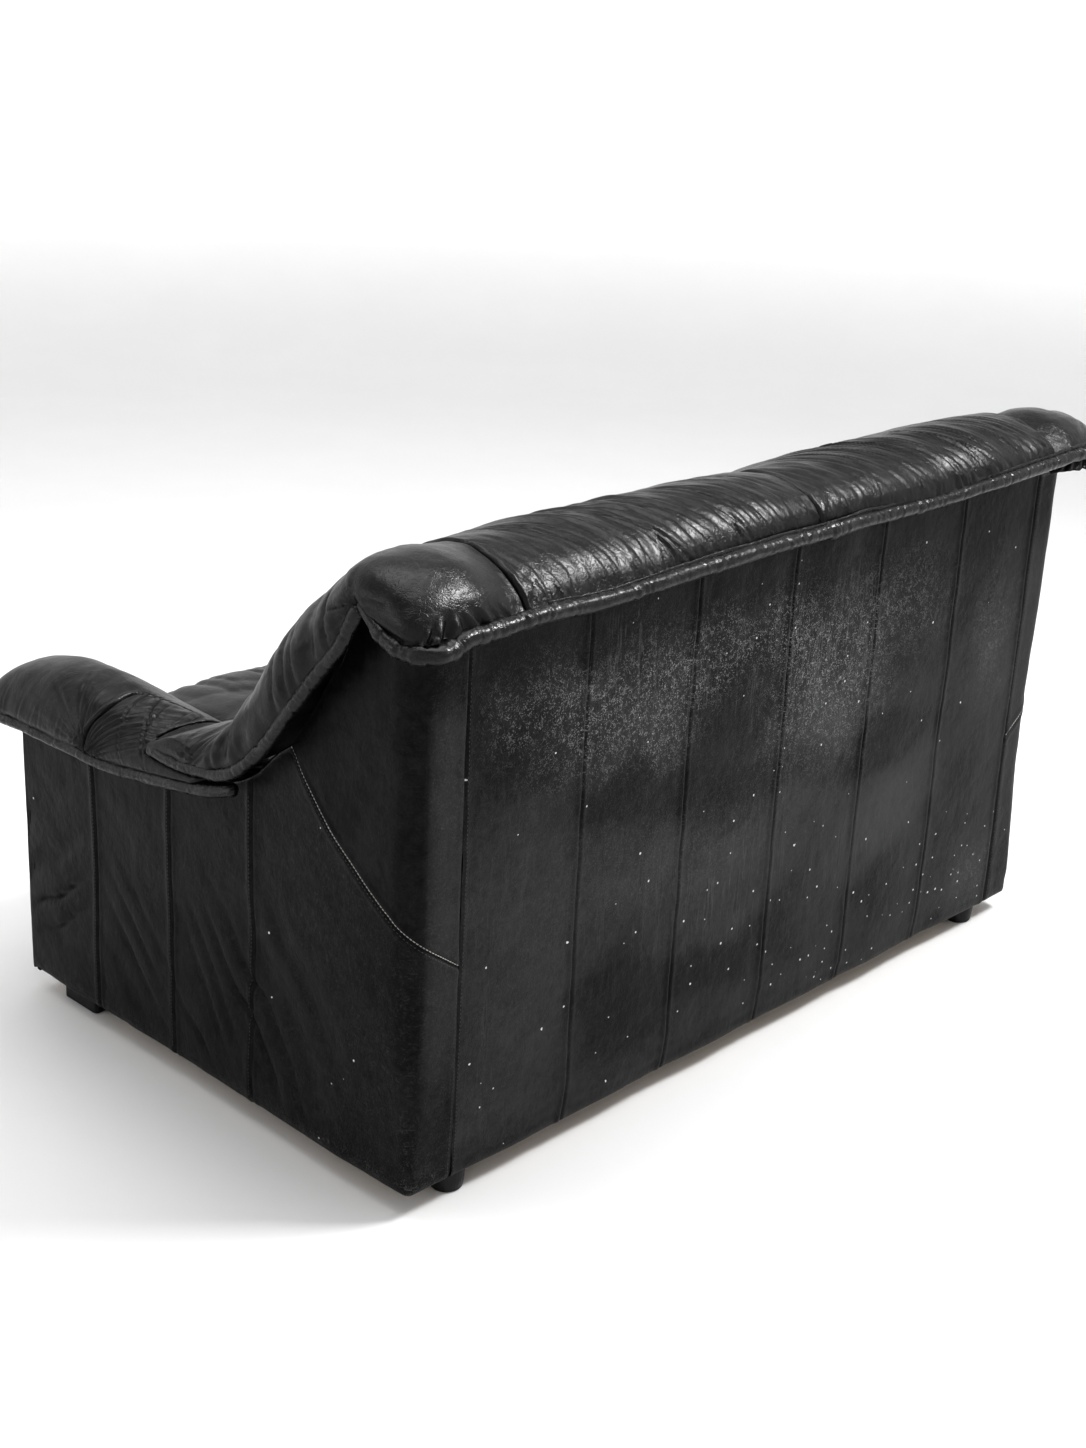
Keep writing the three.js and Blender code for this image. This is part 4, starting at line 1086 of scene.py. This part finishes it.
# ------------------------------------------------------------------ seat cushions
def seat_cushion(s, name):
    seed = 51 if s > 0 else 56
    x0, x1, y0, y1, z0, z1 = 2.5, 510.0, -886.0, -84.0, 275.0, 436.0
    cx, cy, hx, hy = (x0 + x1) / 2, (y0 + y1) / 2, (x1 - x0) / 2, (y1 - y0) / 2
    zc, hz = (z0 + z1) / 2, (z1 - z0) / 2
    rings = []
    k = 320
    phi = np.linspace(0, 2 * np.pi, 40001)
    cp, sp = np.cos(phi), np.sin(phi)
    ex = 0.24
    ox, oy = np.sign(cp) * np.abs(cp) ** ex, np.sign(sp) * np.abs(sp) ** ex
    run = np.concatenate([[0], np.cumsum(np.hypot(np.diff(ox) * hx, np.diff(oy) * hy))])
    even = np.linspace(0, run[-1], k, endpoint=False)
    ox, oy = np.interp(even, run, ox), np.interp(even, run, oy)
    nrm = np.maximum(np.abs(ox), np.abs(oy))
    lat = np.concatenate([np.linspace(-np.pi / 2, -0.35, 12)[1:], np.linspace(-0.35, 0.34, 20)[:-1], np.arccos(np.linspace(0.98, 0.02, 62) ** (1 / 0.34))])
    for t in lat:
        cr = np.cos(t) ** 0.34 if t < np.pi / 2 else 0
        z = zc + hz * np.sign(np.sin(t)) * np.abs(np.sin(t)) ** 0.62
        rings.append(np.stack([cx + hx * ox * cr, cy + hy * oy * cr, np.full(k, z)], 1))
    R = np.array(rings)
    X, Y, Z = R[..., 0], R[..., 1], R[..., 2]
    u, v = (X - cx) / hx, (Y - cy) / hy
    top = smooth(zc, z1 - 10, Z)
    dome = (1 - np.clip(np.abs(u), 0, 1) ** 2.5) * (1 - np.clip(np.abs(v), 0, 1) ** 3)
    Z = Z + top * (8 * dome - 4)
    piped = -5 * gauss(Z - (z1 - 26), 4) - 5 * gauss(Z - (z0 + 24), 4)
    N = normals(np.stack([X, Y, Z], 2))
    if N[-10, 5, 2] < 0:
        N = -N
    edge = np.maximum(np.abs(u), np.abs(v))
    D = piped * 0.8
    D += top * 2.2 * smooth(-700, -850, Y) * billow(X / 26 + 0.5 * n1(Y / 50, seed), seed) + top * 1.6 * smooth(0.75, 0.98, np.abs(u)) * billow(Y / 30 + 0.5 * n1(X / 40, seed), seed + 5)
    D += top * 4.0 * fbm2(X / 150, Y / 170, seed + 1) + top * 1.5 * billow((X * 0.5 + Y) / 70 + 0.5 * n1(X / 90, seed), seed + 4) * smooth(0.95, 0.4, edge)
    D += (1 - top) * 2.2 * billow((X + Y) / 30 + 0.3 * n1(Z / 40, seed), seed + 2) * smooth(z0 + 20, z0 + 60, Z)
    D += 3.0 * smooth(-700, -870, Y) * billow((X * 0.9 + Z * 0.5) / 38 + 0.4 * n1(Z / 40, seed), seed + 3)
    rng = np.random.RandomState(seed + 40)
    for k in range(16):
        ax, ay = rng.uniform(60, 470), rng.uniform(-800, -180)
        turn = rng.uniform(-0.5, 0.9) + (np.pi / 2 if k % 3 == 0 else 0)
        t = -(X - ax) * np.sin(turn) + (Y - ay) * np.cos(turn) + 14 * n1(((X - ax) * np.cos(turn) + (Y - ay) * np.sin(turn)) / 60, seed + k)
        l = (X - ax) * np.cos(turn) + (Y - ay) * np.sin(turn)
        D += top * rng.uniform(0.7, 1.7) * crease(t, rng.uniform(6, 11)) * gauss(l, rng.uniform(60, 130)) * smooth(0.96, 0.8, edge) * smooth(0.10, 0.4, edge)
    P = np.stack([X, Y, Z], 2) + N * (D * smooth(z0 + 2, z0 + 20, Z))[..., None]
    P[..., 0] = np.clip(P[..., 0], 2.0, 511.0)
    P[..., 2] = np.maximum(P[..., 2], 272.5)
    P[..., 0] *= s
    ob = loft(f"seat_cushion_{name}_leather", P, mat_pad)
    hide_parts(f"seat_cushion_{name}")
    return ob


# ------------------------------------------------------------------ build
made = []
made += build_back()
for s, name in ((1, "left"), (-1, "right")):
    made += side_pieces(s, name)
    made.append(main_segment(s, name))
    made.append(arm_pad(s, name))
    made.append(wing_pad(s, name))
    made.append(seat_cushion(s, name))

# piped edges
def corner(sg):
    lift, back_ = (0.0, 0.0) if sg > 0 else (38.0, 15.0)
    return [(sg * 726, -72, 797 + lift * .1), (sg * 733, -64, 800 + lift * .3), (sg * 735, -46, 789 + lift * .6), (sg * 736, -24, 777 + lift * .8), (sg * 736, -2, 769 + lift * .95), (sg * 734, 18, 766 + lift),
            (sg * 727, 36, 767 + lift), (sg * 713, 46 + back_ * .6, 768 + lift)]


rear_y = lambda x: 44 + 17 * smooth(-150, -560, x)
rear = corner(1) + [(x, float(rear_y(x)), float(rear_low(x)) + 9 * float(smooth(-200, -560, x))) for x in np.linspace(692, -692, 60)] + corner(-1)[::-1]
w = piping("rear_piping", rear, mat_pipe, r=(10.6, 11.2), rings=0.62, seed=2, n_side=20, joints=((0.502, 2.6), (0.03, 1.4), (0.048, 1.9), (0.066, 1.6), (0.09, 1.7), (0.118, 1.0), (0.16, 1.1), (0.27, 0.6), (0.36, 0.8), (0.62, 0.7), (0.74, 0.9), (0.86, 1.2), (0.91, 1.4), (0.94, 1.6)), up=(0, 1, 0), thin=([0, 0.012, 0.035, 0.06, 0.10, 0.14, 0.86, 0.94, 0.98, 1], [0.55, 0.62, 0.95, 1.05, 1.06, 1.0, 0.95, 1.0, 0.8, 0.6]))
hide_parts("welt_rear")
made.append(w)
lip = [(x, float(rear_y(x)) - 2.5, float(rear_low(x)) + 10.5 + 9 * float(smooth(-200, -560, x))) for x in np.linspace(540, -690, 50)]
w = piping("rear_piping_lip", lip, mat_pipe, r=(3.4, 2.6), rings=0.35, seed=12, n_side=10, step=3.0, wander=0.8, up=(0, 1, 0))
made.append(w)


def strip(name, X, Y, Z, thick, mat):
    """Thin level strip over a grid."""
    P = np.stack([X, Y, Z], 2)
    N = np.zeros_like(P)
    N[..., 2] = 1
    return panel(name, P, N, thick, mat)


gx, gt = np.meshgrid(np.linspace(-712, 712, 120), np.linspace(0, 1, 8), indexing="ij")
far = smooth(-200, -560, gx)
w = strip("rear_flange", gx, 1.0 + gt * (rear_y(gx) - 2), rear_low(gx) + 3 + 9 * far - 10 * smooth(-640, -690, gx) + 0.5 * n2(gx / 30, gt * 3, 77), 3.0, mat_pad)
made.append(w)
gx, gt = np.meshgrid(np.linspace(-511, 511, 140), np.linspace(0, 1, 14), indexing="ij")
w = strip("front_leather_top", gx, -838 + 52 * gt, 273.5 + 0.6 * fbm2(gx / 60, gt * 2, 78) - 2.5 * smooth(0.12, 0.0, gt), 3.0, mat_front)
made.append(w)
for s, name in ((1, "left"), (-1, "right")):
    yy = [-468, -440, -409, -366, -332, -299, -265, -233, -195, -146, -100, -84]
    lift = 0.0 if s > 0 else 30.0
    pts = [(s * 704, -491, 504), (s * 718, -488, 500), (s * 729, -481, 500)] + [(s * 734, y, float(wing_low(y)) + lift * float(smooth(-200, -70, y))) for y in yy]
    pts += [(s * 734, -74, 787 + lift), (s * 731, -70, 800 + lift * .8)]
    w = piping(f"wing_piping_{name}", pts, mat_pipe, r=(8.2, 9.2), rings=0.85, seed=5 if s > 0 else 6)
    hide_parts(f"welt_wing_{name}")
    made.append(w)
    xs_ = np.array([716, 708, 696, 682, 666, 648, 630, 612])
    ys_ = np.array([-487, -486, -485, -483.5, -482, -480, -478, -475.0])
    zs_ = arm_z(xs_, ys_) + 5.2
    bead = piping(f"tongue_edge_{name}", [(s * x, y, float(z)) for x, y, z in zip(xs_, ys_, zs_)], mat_pad, r=(3.0, 2.8), rings=0.3, n_side=12, step=2.0, seed=19, wander=0.3)
    made.append(bead)
    ya = [-870, -836, -792, -740, -697, -650, -601, -555, -508, -470, -441, -410, -380, -345, -305]
    pts = [(s * 690, -886, 432), (s * 712, -884, 433), (s * 726, -878, 436)] + [(s * (733 - 9 * float(smooth(-345, -305, y))), y, float(arm_low(y)) + 2.0) for y in ya]
    w = piping(f"arm_piping_{name}", pts, mat_pipe, r=(7.5, 9.0), rings=0.6, seed=9 if s > 0 else 10, power=0.8)
    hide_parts(f"welt_arm_{name}")
    made.append(w)


for s, name in ((1, "left"), (-1, "right")):
    pts = [(s * (697 + (9 if s < 0 else 1) * float(smooth(300, 800, under_wing(y)))), y, float(under_wing(y)) + 1) for y in (-356, -330, -297, -275, -251, -225, -206, -182, -152, -128, -118, -110)]
    w = piping(f"side_hem_{name}", pts, mat_pipe, r=(3.0, 3.0), rings=0.25, n_side=10, step=3.0, seed=15, wander=0.4)
    made.append(w)


# plain leather panels at the front
def flat_cover(name, node, x0, x1, z0, z1, y, ny, seed, nx=60, nz=50):
    xs, zs = np.linspace(x0, x1, nx), np.linspace(z0, z1, nz)
    X, Z = np.meshgrid(xs, zs, indexing="ij")
    e = np.minimum(np.minimum(X - x0, x1 - X), np.minimum(Z - z0, z1 - Z))
    D = 2.0 * fbm2(X / 120, Z / 90, seed) + 1.2 * billow((X + 0.4 * Z) / 60, seed) * smooth(0, 60, e) - 5 * (1 - np.sqrt(np.clip(1 - (1 - np.clip(e / 8, 0, 1)) ** 2, 0, 1)))
    P = np.stack([X, y + ny * D, Z], 2)
    N = np.zeros_like(P)
    N[..., 1] = ny
    if ny < 0:
        P, N = P[::-1], N[::-1]
    ob = panel(name, P, N, 7.0, mat_front)
    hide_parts(node)
    return ob


for s, name in ((1, "left"), (-1, "right")):
    a, b = sorted((s * 512.6, s * 698))
    made.append(flat_cover(f"arm_front_{name}_leather", f"arm_front_cover_{name}", a, b, 33, 440, -836, -1, 61))
made.append(flat_cover("front_leather", "front_cover", -511.5, 511.5, 33, 275, -836, -1, 63, nx=140))
for s, name in ((1, "left"), (-1, "right")):
    y0, y1, z0, z1 = -827, -78, 246, 436
    ys_, zs_ = np.linspace(y0, y1, 80), np.linspace(z0, z1, 24)
    Y, Z = np.meshgrid(ys_, zs_, indexing="ij")
    X = s * (512 + 0.8 * fbm2(Y / 90, Z / 90, 65))
    P = np.stack([X, Y, Z], 2)
    N = np.zeros_like(P)
    N[..., 0] = -s
    if s > 0:
        P, N = P[::-1], N[::-1]
    ob = panel(f"arm_inner_{name}_leather", P, N, 7.0, mat_front)
    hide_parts(f"arm_inner_cover_{name}")
    made.append(ob)

for o in made:
    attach(o, "root")


# ------------------------------------------------------------------ materials of what shows of the frame itself
def wood():
    g = Nodes("sawn_pine")
    ring = g.noise(18, 5.0, 0.6, vec=g.scaled(1.5, 1.5, 14))
    fibre = g.noise(420, 2.0, 0.6, vec=g.scaled(0.08, 0.08, 1))
    f = g.math("ADD", g.math("MULTIPLY", ring, 0.7), g.math("MULTIPLY", fibre, 0.3))
    g.link(g.mix(g.ramp(f, 0.35, 0.65), (0.30, 0.19, 0.095), (0.56, 0.40, 0.23)), g.bsdf.inputs["Base Color"])
    g.link(g.ramp(fibre, 0.3, 0.7, 0.6, 0.8), g.bsdf.inputs["Roughness"])
    g.link(g.bump(f, 0.3, 0.0012), g.bsdf.inputs["Normal"])
    return g.mat


def steel(name, colour, rough):
    g = Nodes(name)
    v = g.noise(60, 4.0, 0.6)
    g.link(g.mix(g.ramp(v, 0.35, 0.7), colour, [c * 0.55 for c in colour]), g.bsdf.inputs["Base Color"])
    g.link(g.ramp(v, 0.3, 0.7, rough, rough + 0.2), g.bsdf.inputs["Roughness"])
    g.bsdf.inputs["Metallic"].default_value = 1.0
    g.link(g.bump(g.noise(700, 2.0), 0.1, 0.0004), g.bsdf.inputs["Normal"])
    return g.mat


def cloth(name, a, b, scale):
    g = Nodes(name)
    wa = g.node("ShaderNodeTexWave", bands_direction="X")
    wb = g.node("ShaderNodeTexWave", bands_direction="Y")
    for w_ in (wa, wb):
        g.link(g.pos, w_.inputs["Vector"])
        w_.inputs["Scale"].default_value = scale
    f = g.math("MAXIMUM", wa.outputs["Fac"], wb.outputs["Fac"])
    g.link(g.mix(g.math("MULTIPLY", f, g.noise(80, 3.0)), a, b), g.bsdf.inputs["Base Color"])
    g.bsdf.inputs["Roughness"].default_value = 0.95
    g.link(g.bump(f, 0.5, 0.0006), g.bsdf.inputs["Normal"])
    return g.mat


def foot_plastic():
    g = Nodes("foot_plastic")
    v, f = g.noise(45, 5.0, 0.65), g.noise(700, 2.0)
    g.link(g.mix(g.ramp(v, 0.55, 0.75), (0.006, 0.006, 0.0065), (0.03, 0.03, 0.029)), g.bsdf.inputs["Base Color"])
    g.link(g.ramp(v, 0.3, 0.7, 0.38, 0.6), g.bsdf.inputs["Roughness"])
    g.link(g.bump(f, 0.15, 0.0004), g.bsdf.inputs["Normal"])
    return g.mat


by_slot = {"timber": wood(), "spring_steel": steel("spring_steel", (0.30, 0.30, 0.31), 0.35), "stud_steel": steel("stud_steel", (0.55, 0.55, 0.53), 0.3),
           "webbing": cloth("webbing_weave", (0.05, 0.035, 0.022), (0.16, 0.12, 0.08), 900), "dust_cloth": cloth("dust_weave", (0.008, 0.008, 0.008), (0.025, 0.025, 0.025), 1400),
           "foot_black": foot_plastic(), "leather_back": mat_back, "leather_side": mat_side, "leather_pad": mat_pad, "leather_piping": mat_pipe}
for row in frame["record"]["subparts"]:
    ob = frame["nodes"][row["node"]]
    ob.data.materials.clear()
    ob.data.materials.append(by_slot[row["material_slot"]])

# ------------------------------------------------------------------ floor, light and camera
def stage():
    g = Nodes("floor")
    v = g.noise(3.0, 4.0, 0.6)
    g.link(g.mix(g.ramp(v, 0.35, 0.7), (0.765, 0.765, 0.765), (0.775, 0.775, 0.775)), g.bsdf.inputs["Base Color"])
    g.bsdf.inputs["Roughness"].default_value = 0.8
    z_ = g.node("ShaderNodeSeparateXYZ")
    g.link(g.pos, z_.inputs[0])
    g.bsdf.inputs["Emission Color"].default_value = (1, 1, 1, 1)
    g.link(g.math("SUBTRACT", g.ramp(z_.outputs[2], 0.0, 0.9, 0.0, 0.345), g.ramp(z_.outputs[2], 1.6, 4.5, 0.0, 0.09)), g.bsdf.inputs["Emission Strength"])
    n, R, H, rim, k = 20, 2.6, 6.0, 7.0, 72
    prof = [(0.001, 0.0), (1.0, 0.0), (2.5, 0.0), (rim - R, 0.0)]
    for i in range(1, n + 1):
        a = math.pi / 2 * i / n
        prof.append((rim - R + R * math.sin(a), R - R * math.cos(a)))
    prof.append((rim, H))
    verts, faces = [], []
    for d, z in prof:
        for j in range(k):
            verts.append((d * math.cos(2 * math.pi * j / k), d * math.sin(2 * math.pi * j / k), z))
    for i in range(len(prof) - 1):
        for j in range(k):
            faces.append((i * k + j, i * k + (j + 1) % k, (i + 1) * k + (j + 1) % k, (i + 1) * k + j))
    me = bpy.data.meshes.new("floor")
    me.from_pydata(verts, [], faces)
    me.shade_smooth()
    ob = bpy.data.objects.new("floor", me)
    bpy.context.scene.collection.objects.link(ob)
    me.materials.append(g.mat)


stage()


def area(name, loc, target, size, power, colour=(1, 1, 1)):
    li = bpy.data.lights.new(name, "AREA")
    li.shape = "RECTANGLE"
    li.size, li.size_y = size
    li.energy = power
    li.color = colour
    ob = bpy.data.objects.new(name, li)
    bpy.context.scene.collection.objects.link(ob)
    ob.location = loc
    ob.rotation_mode = "QUATERNION"
    ob.rotation_quaternion = (Vector(target) - Vector(loc)).to_track_quat("-Z", "Y")
    return ob


area("key", (-1.15, 1.55, 3.1), (0, 0.2, 0.6), (0.75, 0.75), 82)
area("overhead", (0.3, -0.4, 3.9), (0, 0, 0.3), (3.0, 3.0), 76)
area("fill", (3.4, -1.6, 1.5), (0.5, -0.2, 0.4), (1.2, 1.2), 8)
world = bpy.data.worlds.new("studio")
bpy.context.scene.world = world
world.use_nodes = True
world.node_tree.nodes["Background"].inputs[0].default_value = (1, 1, 1, 1)
world.node_tree.nodes["Background"].inputs[1].default_value = 0.5
bpy.context.scene.view_settings.view_transform = "Standard"
bpy.context.scene.view_settings.look = "High Contrast"
bpy.context.scene.view_settings.exposure = -0.2

cam = bpy.data.cameras.new("camera")
camera = bpy.data.objects.new("camera", cam)
bpy.context.scene.collection.objects.link(camera)
yaw, pitch, roll = math.radians(-137.0167), math.radians(20.3053), math.radians(2.7779)
fw = Vector((math.cos(yaw) * math.cos(pitch), math.sin(yaw) * math.cos(pitch), -math.sin(pitch)))
right = fw.cross(Vector((0, 0, 1))).normalized()
up = right.cross(fw)
rr = math.cos(roll) * right + math.sin(roll) * up
uu = -math.sin(roll) * right + math.cos(roll) * up
camera.matrix_world = Matrix(((rr.x, uu.x, -fw.x, 2.1589), (rr.y, uu.y, -fw.y, 1.5512 + OY), (rr.z, uu.z, -fw.z, 1.4631), (0, 0, 0, 1)))
cam.sensor_width = 36.0
cam.lens = 1996.286 / 1448.0 * 36.0
cam.clip_end = 100
bpy.context.scene.camera = camera
